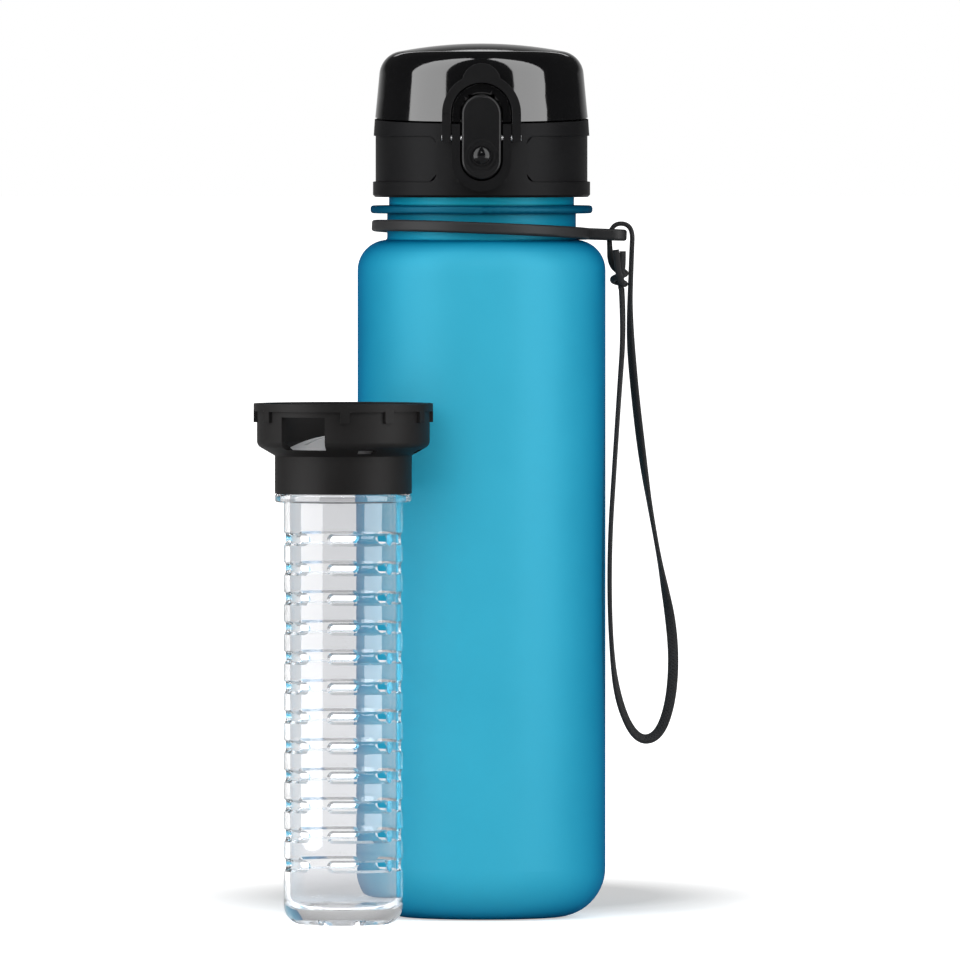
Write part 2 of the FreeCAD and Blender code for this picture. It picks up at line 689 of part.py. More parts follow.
# Latch pin: steel rod through the frame, the button and the lock loop's legs
latch_half = f"({loop_outer} + size.latch_pin_overhang)"
latch_pin = doc.addObject("Part::Cylinder", "latch_pin")
latch_pin.Label = "latch_pin"
latch_pin.setExpression("Radius", "size.latch_pin_radius")
latch_pin.setExpression("Height", f"{latch_half} * 2")
latch_pin.Placement.Rotation = FreeCAD.Rotation(Vector(0, 1, 0), 90)
latch_pin.setExpression("Placement.Base.x", f"-{latch_half}")
latch_pin.setExpression("Placement.Base.y", f"-{pin_depth}")
latch_pin.setExpression("Placement.Base.z", pin_z)

# Release button: rocking plate with a thumb spot, a pivot boss and a spring socket behind
release_button = new_body("release_button")
sketch = new_sketch(release_button, "XZ_Plane", "button_outline", button_back)
outline(sketch, [
    ("-size.button_half_width", f"{button_top} - size.button_half_width"),
    ("-size.button_half_width", f"{button_bottom} + size.button_half_width",
     "size.button_half_width", 1),
    ("0", button_bottom, "size.button_half_width", 1),
    ("size.button_half_width", f"{button_bottom} + size.button_half_width"),
    ("size.button_half_width", f"{button_top} - size.button_half_width",
     "size.button_half_width", 1),
    ("0", button_top, "size.button_half_width", 1),
])
plate = feature_from(release_button, "Pad", "button_plate", sketch, "size.button_thickness")
front_y = -number(button_front)
rounded(release_button, "button_front_round", plate, "size.button_edge",
        lambda edge: all(abs(v.Point.y - front_y) < 0.01 for v in edge.Vertexes))
sketch = new_sketch(release_button, "XZ_Plane", "pivot_boss_outline",
                    f"{pocket_floor} + size.button_clearance")
box_outline(sketch, "-size.button_half_width", "size.button_half_width",
            f"{pin_z} - size.latch_pin_radius - size.turn_clearance - 0.8",
            f"{pin_z} + size.latch_pin_radius + size.turn_clearance + 0.8")
feature_from(release_button, "Pad", "pivot_boss", sketch,
             f"{button_back} - {pocket_floor} - size.button_clearance + 0.5")
sketch = new_sketch(release_button, "YZ_Plane", "pivot_hole_outline")
disc(sketch, f"-{pin_depth}", pin_z, "size.latch_pin_radius + size.turn_clearance")
feature_from(release_button, "Pocket", "pivot_hole", sketch,
             "size.button_half_width * 2 + 2", both=True)
sketch = new_sketch(release_button, "XZ_Plane", "spring_socket_outline", button_back)
disc(sketch, "0", f"{pin_z} - size.thumb_drop",
     "size.button_spring_radius + size.button_spring_wire / 2 + size.turn_clearance")
feature_from(release_button, "Pocket", "spring_socket", sketch,
             "size.button_thickness - size.socket_floor", backwards=True)
sketch = new_sketch(release_button, "XZ_Plane", "thumb_outline", button_front)
disc(sketch, "0", f"{pin_z} - size.thumb_drop", "size.thumb_radius")
thumb = feature_from(release_button, "Pad", "thumb_spot", sketch, "size.thumb_height")
thumb_y = -number(f"{button_front} + size.thumb_height")
rounded(release_button, "thumb_round", thumb, "size.thumb_height * 0.9",
        lambda edge: all(abs(v.Point.y - thumb_y) < 0.01 for v in edge.Vertexes))
sketch = new_sketch(release_button, "XZ_Plane", "thumb_rings_outline", button_front)
for ring_start in ("size.thumb_ring_near", "size.thumb_ring_far"):
    disc(sketch, "0", f"{pin_z} - size.thumb_drop", ring_start)
    disc(sketch, "0", f"{pin_z} - size.thumb_drop", f"{ring_start} + size.thumb_ring_width")
feature_from(release_button, "Pad", "thumb_rings", sketch, "size.thumb_ring_height")

# Lock loop: flat bail round the button with a thumb tab on top
lock_loop = new_body("lock_loop")
loop_back = f"({pin_depth} - size.loop_thickness / 2)"
loop_foot = f"({pin_z} - size.loop_width / 2)"
sketch = new_sketch(lock_loop, "XZ_Plane", "loop_outline", loop_back)
outline(sketch, [
    (f"-{loop_outer}", loop_foot),
    (f"-{loop_inner}", loop_foot),
    (f"-{loop_inner}", arch_centre, loop_inner, -1),
    ("0", f"{arch_centre} + {loop_inner}", loop_inner, -1),
    (loop_inner, arch_centre),
    (loop_inner, loop_foot),
    (loop_outer, loop_foot),
    (loop_outer, arch_centre, loop_outer, 1),
    ("0", f"{arch_centre} + {loop_outer}", loop_outer, 1),
    (f"-{loop_outer}", arch_centre),
])
feature_from(lock_loop, "Pad", "loop_bail", sketch, "size.loop_thickness")
sketch = new_sketch(lock_loop, "XZ_Plane", "loop_tab_outline", loop_back)
tab_centre = f"({arch_centre} + {loop_inner} + size.loop_tab_rise)"
foot_round = f"({loop_inner} + size.loop_width * 0.3)"
tab_foot = f"({arch_centre} + sqrt({foot_round}^2 - size.loop_tab_radius^2))"
outline(sketch, [
    ("-size.loop_tab_radius", tab_foot, foot_round, -1),
    ("size.loop_tab_radius", tab_foot),
    ("size.loop_tab_radius", tab_centre, "size.loop_tab_radius", 1),
    ("0", f"{tab_centre} + size.loop_tab_radius", "size.loop_tab_radius", 1),
    ("-size.loop_tab_radius", tab_centre),
])
feature_from(lock_loop, "Pad", "loop_tab", sketch, "size.loop_thickness")
sketch = new_sketch(lock_loop, "YZ_Plane", "loop_hole_outline")
disc(sketch, f"-{pin_depth}", pin_z, "size.latch_pin_radius + 0.15")
feature_from(lock_loop, "Pocket", "loop_hole", sketch, f"{loop_outer} * 2 + 2", both=True)

# Carry ring: loose band under the neck flange with a tab for the lanyard
carry_ring = new_body("carry_ring")
turned(carry_ring, "ring_band", [
    (ring_inner, "-size.ring_height / 2"),
    (ring_outer, "-size.ring_height / 2"),
    (ring_outer, "size.ring_height / 2"),
    (ring_inner, "size.ring_height / 2"),
])
sketch = new_sketch(carry_ring, "XY_Plane", "tab_outline", "-size.ring_height / 2")
outline(sketch, [
    (f"{ring_outer} - size.ring_width / 2", "-size.tab_width / 2"),
    (f"{tab_end} - size.tab_width / 2", "-size.tab_width / 2", "size.tab_width / 2", 1),
    (tab_end, "0", "size.tab_width / 2", 1),
    (f"{tab_end} - size.tab_width / 2", "size.tab_width / 2"),
    (f"{ring_outer} - size.ring_width / 2", "size.tab_width / 2"),
])
ring_tab = feature_from(carry_ring, "Pad", "ring_tab", sketch, "size.ring_height")
ring_face = number("size.ring_height / 2")
rounded(carry_ring, "ring_edges_round", ring_tab, "size.ring_edge",
        lambda edge: all(abs(abs(v.Point.z) - ring_face) < 0.01 for v in edge.Vertexes)
        and edge.BoundBox.ZLength < 0.01)
sketch = new_sketch(carry_ring, "XY_Plane", "tab_hole_outline", "size.ring_height / 2")
disc(sketch, tab_hole, "0", "size.tab_hole_radius")
feature_from(carry_ring, "Pocket", "tab_hole", sketch, "size.ring_height + 1")
carry_ring.Placement.Rotation = FreeCAD.Rotation(Vector(0, 1, 0), number("size.ring_tilt")).multiply(
    FreeCAD.Rotation(Vector(1, 0, 0), -number("size.ring_pitch")))
carry_ring.setExpression("Placement.Base.z", ring_level)

# Infuser tube: clear slotted tube with a foot ring, a seat flange and a plain spigot
infuser_tube = new_body("infuser_tube")
inner_corner = "(size.tube_corner - size.tube_wall)"
floor_top = "(size.tube_foot + size.tube_floor)"
turned(infuser_tube, "tube_wall_turn", [
    ("0", "size.tube_foot"),
    (f"{tube_radius} - size.tube_corner - 1.6", "size.tube_foot"),
    (f"{tube_radius} - size.tube_corner - 1.2", "0"),
    (f"{tube_radius} - size.tube_corner", "0", "size.tube_corner", 1),
    (tube_radius, "size.tube_corner"),
    (tube_radius, tube_flange_bottom),
    (f"{tube_radius} + size.tube_flange_reach", tube_flange_bottom),
    (f"{tube_radius} + size.tube_flange_reach", tube_flange_top),
    (tube_radius, tube_flange_top),
    (tube_radius, "size.tube_height"),
    (tube_bore, "size.tube_height"),
    (tube_bore, f"{floor_top} + {inner_corner}", inner_corner, -1),
    (f"{tube_bore} - {inner_corner}", floor_top),
    ("0", floor_top),
])
sketch = new_sketch(infuser_tube, "XZ_Plane", "slot_profile")
slot_least = "(size.slot_height / 2 - size.slot_flare / size.tube_wall)"
slot_most = "(size.slot_height / 2 + size.slot_flare + size.slot_flare / size.tube_wall)"
outline(sketch, [
    (f"{tube_bore} - 1", f"{slot_top} - {slot_least}"),
    (f"{tube_radius} + 1", f"{slot_top} - {slot_most}"),
    (f"{tube_radius} + 1", f"{slot_top} + {slot_most}"),
    (f"{tube_bore} - 1", f"{slot_top} + {slot_least}"),
])
slot = part_turn(infuser_tube, "wall_slot", sketch, "size.slot_angle")


def over_the_wall(name, originals):
    """Copies of cuts down the tube's wall and on its four sides."""
    copies = infuser_tube.newObject("PartDesign::MultiTransform", name)
    copies.Originals = originals
    column = infuser_tube.newObject("PartDesign::LinearPattern", f"{name}_column")
    column.Direction = (origin_plane(infuser_tube, "Z_Axis"), [""])
    column.Reversed = True
    column.setExpression("Length", f"{slot_top} - size.slot_low")
    column.setExpression("Occurrences", "size.slot_count")
    sides = infuser_tube.newObject("PartDesign::PolarPattern", f"{name}_sides")
    sides.Axis = (origin_plane(infuser_tube, "Z_Axis"), [""])
    sides.Angle = 360
    sides.Occurrences = 4
    copies.Transformations = [column, sides]
    infuser_tube.Tip = copies
    doc.recompute()


over_the_wall("wall_slots", [slot])
for name, side in (("slot_end_left", -1), ("slot_end_right", 1)):
    slot_end = infuser_tube.newObject("PartDesign::SubtractiveCone", name)
    slot_end.setExpression("Radius1", slot_least)
    slot_end.setExpression("Radius2", slot_most)
    slot_end.setExpression("Height", "size.tube_wall + 2")
    heading = math.radians(side * number("size.slot_angle") / 2)
    outward = Vector(math.cos(heading), math.sin(heading), 0)
    slot_end.Placement = FreeCAD.Placement(
        outward * number(f"{tube_bore} - 1") + Vector(0, 0, number(slot_top)),
        FreeCAD.Rotation(Vector(0, 0, 1), outward))
    infuser_tube.Tip = slot_end
    doc.recompute()
    over_the_wall(f"{name}s", [slot_end])
sketch = new_sketch(infuser_tube, "XY_Plane", "drain_outline")
box_outline(sketch, f"{tube_radius} - size.tube_corner - 2.5", tube_radius,
            "-size.drain_width / 2", "size.drain_width / 2")
drain = feature_from(infuser_tube, "Pocket", "foot_drain", sketch,
                     "size.tube_foot * 0.7", backwards=True)
around(infuser_tube, "foot_drains", [drain], 8)
infuser_tube.Placement.Rotation = FreeCAD.Rotation(Vector(0, 0, 1), number("size.slot_turn"))
infuser_tube.setExpression("Placement.Base.x", infuser_x)
infuser_tube.setExpression("Placement.Base.y", infuser_y)

# Infuser head: black cup that screws over the tube, with a seat flange, tabs and windows
infuser_head = new_body("infuser_head")
head_turned = turned(infuser_head, "head_cup_turn", [
    (head_bore, head_bottom),
    (head_collar, head_bottom),
    (head_collar, head_cone_bottom),
    (head_cup, head_cone_top),
    (head_cup, head_flange_bottom),
    (head_flange, head_flange_bottom),
    (head_flange, head_top),
    (head_inner, head_top),
    (head_inner, f"{head_cone_top} + 0.6"),
    (ledge_edge, ledge_top),
    (tube_bore, ledge_top),
    (tube_bore, ledge_bottom),
    (head_bore, ledge_bottom),
])
cup_radius = number(head_cup)
cup_level = number(head_cone_top)
rounded(infuser_head, "cup_corner_round", head_turned, "size.head_cup_round",
        lambda edge: is_ring(edge, cup_radius, cup_level))
sketch = new_sketch(infuser_head, "XZ_Plane", "window_profile")
box_outline(sketch, f"{head_inner} - 4", f"{head_cup} + 0.4",
            f"{head_cone_bottom} + 1.7", f"{head_flange_bottom} - size.head_window_drop")
window = part_turn(infuser_head, "head_window", sketch, "size.head_window_angle")
around(infuser_head, "head_windows", [window], 2)
sketch = new_sketch(infuser_head, "XY_Plane", "head_tab_outline",
                    f"{head_flange_bottom} - size.head_tab_height")
box_outline(sketch, f"{head_cup} - 0.6", f"{head_flange}",
            "-size.head_tab_width / 2", "size.head_tab_width / 2")
sketch.AttachmentOffset.Rotation = FreeCAD.Rotation(Vector(0, 0, 1), 30)
head_tab = feature_from(infuser_head, "Pad", "head_tab", sketch,
                        "size.head_tab_height + 0.5")
head_tabs = infuser_head.newObject("PartDesign::MultiTransform", "head_tabs")
head_tabs.Originals = [head_tab]
tab_row = infuser_head.newObject("PartDesign::PolarPattern", "tab_row")
tab_row.Axis = (origin_plane(infuser_head, "Z_Axis"), [""])
tab_row.Angle = 120
tab_row.Occurrences = 5
tab_sides = infuser_head.newObject("PartDesign::PolarPattern", "tab_sides")
tab_sides.Axis = (origin_plane(infuser_head, "Z_Axis"), [""])
tab_sides.Angle = 360
tab_sides.Occurrences = 2
head_tabs.Transformations = [tab_row, tab_sides]
infuser_head.Tip = head_tabs
doc.recompute()
sketch = new_sketch(infuser_head, "XZ_Plane", "cone_drain_profile")
box_outline(sketch, f"{head_collar} - 1", f"{head_cup} + 0.4",
            f"{head_cone_bottom} + 0.7", f"{head_cone_bottom} + 1.6")
sketch.AttachmentOffset = FreeCAD.Placement(
    Vector(0, 0, 0), FreeCAD.Rotation(Vector(0, 1, 0), 47))
cone_drain = part_turn(infuser_head, "cone_drain_near", sketch, "14")
around(infuser_head, "cone_drains_near", [cone_drain], 2)
sketch = new_sketch(infuser_head, "XZ_Plane", "cone_drain_far_profile")
box_outline(sketch, f"{head_collar} - 1", f"{head_cup} + 0.4",
            f"{head_cone_bottom} + 0.7", f"{head_cone_bottom} + 1.6")
sketch.AttachmentOffset = FreeCAD.Placement(
    Vector(0, 0, 0), FreeCAD.Rotation(Vector(0, 1, 0), 107))
cone_drain = part_turn(infuser_head, "cone_drain_far", sketch, "14")
around(infuser_head, "cone_drains_far", [cone_drain], 2)
infuser_head.Placement.Rotation = FreeCAD.Rotation(Vector(0, 0, 1), number("size.head_turn"))
infuser_head.setExpression("Placement.Base.x", infuser_x)
infuser_head.setExpression("Placement.Base.y", infuser_y)

# Strainer disc: domed plate with long slots that lies on the head's ledge
strainer_disc = new_body("strainer_disc")
dome_radius = f"({strainer_radius} - 1.4)"
dome_round = f"({dome_radius}^2 + size.strainer_rise^2) / (2 * size.strainer_rise)"
turned(strainer_disc, "strainer_dome", [
    (strainer_radius, strainer_bottom),
    (strainer_radius, f"{strainer_bottom} + size.strainer_rim"),
    (dome_radius, f"{strainer_bottom} + size.strainer_rim", dome_round, 1),
    ("0", f"{strainer_bottom} + size.strainer_rim + size.strainer_rise"),
    ("0", f"{strainer_bottom} + size.strainer_rise", dome_round, -1),
    (dome_radius, strainer_bottom),
])
sketch = new_sketch(strainer_disc, "XY_Plane", "strainer_slot_outline",
                    f"{strainer_bottom} - 1")
box_outline(sketch, "size.strainer_hub", f"{dome_radius} - 2", "-size.strainer_slot / 2",
            "size.strainer_slot / 2")
strainer_slot = feature_from(strainer_disc, "Pocket", "strainer_slot", sketch,
                             "size.strainer_rise + size.strainer_rim + 2", backwards=True)
around(strainer_disc, "strainer_slots", [strainer_slot], 10)
strainer_disc.setExpression("Placement.Base.x", infuser_x)
strainer_disc.setExpression("Placement.Base.y", infuser_y)
doc.recompute()


def routed_tube(points, diameter, label):
    """A tube along straight runs joined by tangent arcs, checked by its volume."""
    edges = []
    radii = []
    start = points[0]
    for index in range(1, len(points) - 1):
        corner = points[index]
        back = (points[index - 1] - corner).normalize()
        ahead = (points[index + 1] - corner).normalize()
        half_turn = (math.pi - back.getAngle(ahead)) / 2
        run = min((points[index - 1] - corner).Length, (points[index + 1] - corner).Length)
        cut = 0.45 * run
        radius = cut / math.tan(half_turn)
        inward = (back + ahead).normalize()
        middle = corner + inward * (radius / math.cos(half_turn) - radius)
        edges.append(Part.makeLine(start, corner + back * cut))
        edges.append(Part.Arc(corner + back * cut, middle, corner + ahead * cut).toShape())
        radii.append(radius)
        start = corner + ahead * cut
    edges.append(Part.makeLine(start, points[-1]))
    path = Part.Wire(edges)
    heading = (points[1] - points[0]).normalize()
    section = Part.Wire(Part.makeCircle(diameter / 2, points[0], heading))
    tube = path.makePipeShell([section], True, False)
    ideal = math.pi * diameter ** 2 / 4 * path.Length
    print(label, "length", round(path.Length, 2), "least radius", round(min(radii), 2),
          "volume share", round(tube.Volume / ideal, 4))
    return tube


def wound_wire(origin, axis, across, radius, turns, pitch, wire, legs, label):
    """A wire wound on quarter turns, with straight legs off both ends."""
    up = axis.cross(across)
    quarters = int(turns * 4)

    def spot(count):
        angle = count * math.pi / 2
        return (origin + axis * (pitch * count / 4)
                + across * (radius * math.cos(angle)) + up * (radius * math.sin(angle)))

    edges = []
    for count in range(quarters):
        angle = (count + 0.5) * math.pi / 2
        middle = (origin + axis * (pitch * (count + 0.5) / 4)
                  + across * (radius * math.cos(angle)) + up * (radius * math.sin(angle)))
        edges.append(Part.Arc(spot(count), middle, spot(count + 1)).toShape())
    first = edges[0].tangentAt(edges[0].FirstParameter)
    last = edges[-1].tangentAt(edges[-1].LastParameter)
    if legs > 0:
        edges.insert(0, Part.makeLine(spot(0) - first * legs, spot(0)))
        edges.append(Part.makeLine(spot(quarters), spot(quarters) + last * legs))
    path = Part.Wire(edges)
    begin = path.OrderedVertexes[0].Point
    section = Part.Wire(Part.makeCircle(wire / 2, begin, first))
    tube = path.makePipeShell([section], True, False)
    ideal = math.pi * wire ** 2 / 4 * path.Length
    print(label, "turns", turns, "gap between turns", round(pitch - wire, 2),
          "volume share", round(tube.Volume / ideal, 4))
    return tube


# Hinge spring: torsion coil round the hinge pin between the knuckles
spring_wire = number("size.hinge_spring_wire")
spring_turns = number("size.hinge_spring_turns") + 0.5
spring_pitch = spring_wire + number("size.hinge_spring_gap")
spring_start = Vector(-spring_pitch * spring_turns / 2, number(hinge_y), number(hinge_z))
hinge_spring = doc.addObject("Part::Feature", "hinge_spring")
hinge_spring.Label = "hinge_spring"
hinge_spring.Shape = wound_wire(
    spring_start, Vector(1, 0, 0), Vector(0, 0, -1), number("size.hinge_spring_radius"),
    spring_turns, spring_pitch, spring_wire, number("size.hinge_spring_leg"), "hinge_spring")

# Button spring: short coil between the pocket floor and the button's socket
coil_wire = number("size.button_spring_wire")
coil_turns = number("size.button_spring_turns")
coil_low = -number(f"{pocket_floor} + size.button_spring_seat") - coil_wire / 2
coil_high = (-number(f"{button_front} - size.socket_floor - size.button_spring_reach")
             + coil_wire / 2)
coil_pitch = (coil_low - coil_high) / coil_turns
button_spring = doc.addObject("Part::Feature", "button_spring")
button_spring.Label = "button_spring"
button_spring.Shape = wound_wire(
    Vector(0, coil_low, number(f"{pin_z} - size.thumb_drop")), Vector(0, -1, 0),
    Vector(1, 0, 0), number("size.button_spring_radius"), coil_turns, coil_pitch,
    coil_wire, 0, "button_spring")

# Lanyard: cord from the tab hole over the tab's end, down, round and up to the knot
cord_diameter = number("size.cord_diameter")
ring_turn = carry_ring.Placement
hole_low = ring_turn.multVec(Vector(number(tab_hole), 0, -1.3))
over = ring_turn.multVec(Vector(number(tab_hole), 0, number("size.cord_arch")))
beyond = ring_turn.multVec(
    Vector(number(f"{tab_end} + size.cord_beyond"), 0, number("size.cord_arch")))
cord_points = [hole_low, over, beyond]
for x, y, z in (
        (-0.4, -0.3, -6.9), (-1.0, -0.6, -24.9), (0.5, -1.2, -43.4), (3.2, -1.8, -65.4),
        (6.9, -2.4, -86.4), (10.7, -3.0, -106.4), (10.3, -3.6, -122.4),
        (6.8, -4.2, -133), (0.6, -5.0, -133.7), (-4.4, -6.2, -122.3),
        (-6.1, -7.4, -104.4), (-6.2, -7.4, -82.4), (-4.9, -5.6, -62),
        (-3.6, -3.2, -42.4), (-2.4, -1.4, -25.9), (-3.0, -0.4, -15.3)):
    cord_points.append(Vector(x + beyond.x, y, z + number(ring_level)))
lanyard_cord = doc.addObject("Part::Feature", "lanyard_cord")
lanyard_cord.Label = "lanyard_cord"
lanyard_cord.Shape = routed_tube(cord_points, cord_diameter, "lanyard_cord")

# Lanyard knot: tied lump with the strand up to the hole and two cut ends
knot_low = cord_points[-1] + Vector(0, 0, 0.2)
knot_radius = number("size.knot_radius")
knot_height = number("size.knot_height")
knot_middle = knot_low + Vector(-0.5, 0, knot_height / 2)
lump = Part.makeSphere(1, Vector(0, 0, 0))
stretch = FreeCAD.Matrix()
stretch.scale(knot_radius, knot_radius * 0.8, knot_height / 2)
lump = lump.transformGeometry(stretch)
lump.translate(knot_middle)
hole_under = ring_turn.multVec(Vector(number(tab_hole), 0, -1.4))
strand_bend = Vector(hole_under.x + 0.2, 0.1, (hole_under.z + knot_middle.z) / 2 - 1)
strand = routed_tube([hole_under, strand_bend, knot_middle + Vector(-0.4, 0, -0.6)],
                     cord_diameter, "knot_strand")
tail_near = number("size.knot_tail_near")
tail_far = number("size.knot_tail_far")
end_near = routed_tube(
    [knot_middle + Vector(-0.4, -0.6, -0.6), knot_middle + Vector(-0.5, -1.5, tail_near * 0.46),
     knot_middle + Vector(-1.0, -2.2, tail_near)], cord_diameter * 0.8, "knot_end_near")
end_far = routed_tube(
    [knot_middle + Vector(0.4, -0.5, -0.6), knot_middle + Vector(0.8, -1.3, tail_far * 0.46),
     knot_middle + Vector(0.8, -1.9, tail_far)], cord_diameter * 0.8, "knot_end_far")
lanyard_knot = doc.addObject("Part::Feature", "lanyard_knot")
lanyard_knot.Label = "lanyard_knot"
lanyard_knot.Shape = lump.fuse([strand, end_near, end_far])
doc.recompute()

# Check every object and write one file per piece
pieces = [
    bottle_body, neck_gasket, lid_collar, flip_cover, cover_liner, spout_seal, hinge_pin,
    hinge_spring, latch_pin, release_button, button_spring, lock_loop, carry_ring,
    lanyard_cord, lanyard_knot, infuser_tube, infuser_head, strainer_disc,
]
for item in doc.Objects:
    if "Invalid" in item.State or "Error" in item.State:
        raise RuntimeError(f"{item.Name} did not compute: {item.State}")
os.makedirs("parts", exist_ok=True)
for piece in pieces:
    shape = piece.Shape
    if not shape.isValid() or len(shape.Solids) != 1:
        raise RuntimeError(f"{piece.Label} is not one valid solid: {len(shape.Solids)}")
    box = shape.optimalBoundingBox(False, False)
    print(piece.Label, "volume", round(shape.Volume, 1), "x", round(box.XMin, 2),
          round(box.XMax, 2), "y", round(box.YMin, 2), round(box.YMax, 2),
          "z", round(box.ZMin, 2), round(box.ZMax, 2))
    shape.exportStep(f"parts/{piece.Label}.step")
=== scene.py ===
import bpy
import math
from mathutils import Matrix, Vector


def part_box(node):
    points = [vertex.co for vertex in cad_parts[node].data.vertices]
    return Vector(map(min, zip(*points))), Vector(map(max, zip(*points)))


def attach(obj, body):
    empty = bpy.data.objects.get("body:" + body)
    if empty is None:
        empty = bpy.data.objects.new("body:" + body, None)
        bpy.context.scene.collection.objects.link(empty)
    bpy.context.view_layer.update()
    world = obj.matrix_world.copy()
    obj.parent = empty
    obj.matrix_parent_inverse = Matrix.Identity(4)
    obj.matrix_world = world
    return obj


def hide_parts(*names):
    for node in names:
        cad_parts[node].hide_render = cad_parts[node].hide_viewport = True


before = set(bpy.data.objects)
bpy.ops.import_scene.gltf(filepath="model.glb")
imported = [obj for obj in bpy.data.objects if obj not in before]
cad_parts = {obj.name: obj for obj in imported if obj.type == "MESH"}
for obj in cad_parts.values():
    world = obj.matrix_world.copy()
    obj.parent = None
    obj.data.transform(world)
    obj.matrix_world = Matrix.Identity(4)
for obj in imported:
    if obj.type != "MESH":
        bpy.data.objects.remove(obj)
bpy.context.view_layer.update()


# Bottle body: one stretch-blown shell of dyed copolyester, sand-finished on the outside so that
# it glows softly. Its rounded base stands on a raised ring, and the neck carries the lid.
flow_scale = 45.0
flow_low = 0.3
flow_high = 0.7
grain_strength = 0.6


def moulded_plastic(name, shade, light, rough, shine, grain, depth):
    """A moulded plastic of two close shades, with uneven gloss and a fine mould grain."""
    material = bpy.data.materials.new(name)
    material.use_nodes = True
    nodes = material.node_tree.nodes
    links = material.node_tree.links
    shader = nodes["Principled BSDF"]
    shader.inputs["Specular IOR Level"].default_value = shine
    place = nodes.new("ShaderNodeTexCoord")
    flow = nodes.new("ShaderNodeTexNoise")
    flow.inputs["Scale"].default_value = flow_scale
    flow.inputs["Detail"].default_value = 4.0
    links.new(place.outputs["Object"], flow.inputs["Vector"])
    shades = nodes.new("ShaderNodeValToRGB")
    shades.color_ramp.elements[0].position = flow_low
    shades.color_ramp.elements[0].color = (*shade, 1.0)
    shades.color_ramp.elements[1].position = flow_high
    shades.color_ramp.elements[1].color = (*light, 1.0)
    links.new(flow.outputs["Fac"], shades.inputs["Fac"])
    links.new(shades.outputs["Color"], shader.inputs["Base Color"])
    gloss = nodes.new("ShaderNodeMapRange")
    gloss.inputs["From Min"].default_value = flow_low
    gloss.inputs["From Max"].default_value = flow_high
    gloss.inputs["To Min"].default_value = rough[0]
    gloss.inputs["To Max"].default_value = rough[1]
    links.new(flow.outputs["Fac"], gloss.inputs["Value"])
    links.new(gloss.outputs["Result"], shader.inputs["Roughness"])
    skin = nodes.new("ShaderNodeTexNoise")
    skin.inputs["Scale"].default_value = grain
    skin.inputs["Detail"].default_value = 2.0
    links.new(place.outputs["Object"], skin.inputs["Vector"])
    bump = nodes.new("ShaderNodeBump")
    bump.inputs["Strength"].default_value = grain_strength
    bump.inputs["Distance"].default_value = depth
    links.new(skin.outputs["Fac"], bump.inputs["Height"])
    links.new(bump.outputs["Normal"], shader.inputs["Normal"])
    return material


def finish_with(piece, material):
    """Gives a piece one finish all over."""
    piece.data.materials.clear()
    piece.data.materials.append(material)


def work_on(piece):
    """Makes one piece the only selected and the active one."""
    bpy.ops.object.select_all(action="DESELECT")
    piece.select_set(True)
    bpy.context.view_layer.objects.active = piece


sharp_angle = math.radians(35)
joined_within = 0.000001


def ease_edges(piece, width):
    """Joins a solid's facets and rounds its sharp edges, as a mould does."""
    work_on(piece)
    bpy.ops.mesh.customdata_custom_splitnormals_clear()
    bpy.ops.object.shade_smooth()
    joined = piece.modifiers.new("joined", "WELD")
    joined.merge_threshold = joined_within
    eased = piece.modifiers.new("eased", "BEVEL")
    eased.limit_method = "ANGLE"
    eased.angle_limit = sharp_angle
    eased.width = width
    eased.segments = 2
    flat = piece.modifiers.new("flat", "WEIGHTED_NORMAL")
    flat.weight = 100


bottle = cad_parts["bottle_body"]
# Neck colours, painted: painted shade on the neck's root and deeper on the flange, painted light above it.
shoulder_height = 0.1745
rim_height = 0.2024
painted_neck_light_and_shade = [
    (0.1745, (0.115, 0.6, 0.76)), (0.1785, (0.035, 0.58, 0.72)), (0.1838, (0.03, 0.53, 0.69)),
    (0.1844, (0.003, 0.13, 0.19)), (0.1865, (0.003, 0.13, 0.19)), (0.1871, (0.04, 0.85, 0.98)),
]
frosted_blue = moulded_plastic(
    "frosted_blue", shade=(0.115, 0.6, 0.75), light=(0.125, 0.63, 0.78),
    rough=(0.38, 0.46), shine=0.2, grain=2600.0, depth=0.00002)
frosted_nodes = frosted_blue.node_tree.nodes
frosted_links = frosted_blue.node_tree.links
frosted = frosted_nodes["Principled BSDF"]
frosted.inputs["Coat Weight"].default_value = 1.0
frosted.inputs["Coat IOR"].default_value = 1.03
frosted.inputs["Coat Roughness"].default_value = 0.5
frosted.inputs["Coat Tint"].default_value = (0.32, 0.67, 0.78, 1.0)
height = frosted_nodes.new("ShaderNodeSeparateXYZ")
frosted_links.new(frosted_nodes["Texture Coordinate"].outputs["Object"], height.inputs["Vector"])
up_the_neck = frosted_nodes.new("ShaderNodeMapRange")
up_the_neck.inputs["From Min"].default_value = shoulder_height
up_the_neck.inputs["From Max"].default_value = rim_height
frosted_links.new(height.outputs["Z"], up_the_neck.inputs["Value"])
painted_neck_ramp = frosted_nodes.new("ShaderNodeValToRGB")
while len(painted_neck_ramp.color_ramp.elements) < len(painted_neck_light_and_shade):
    painted_neck_ramp.color_ramp.elements.new(1.0)
for stop, (level, blue) in zip(painted_neck_ramp.color_ramp.elements, painted_neck_light_and_shade):
    stop.position = (level - shoulder_height) / (rim_height - shoulder_height)
    stop.color = (*blue, 1.0)
frosted_links.new(up_the_neck.outputs["Result"], painted_neck_ramp.inputs["Fac"])
above_shoulder = frosted_nodes.new("ShaderNodeMath")
above_shoulder.operation = "GREATER_THAN"
above_shoulder.inputs[1].default_value = shoulder_height
frosted_links.new(height.outputs["Z"], above_shoulder.inputs[0])
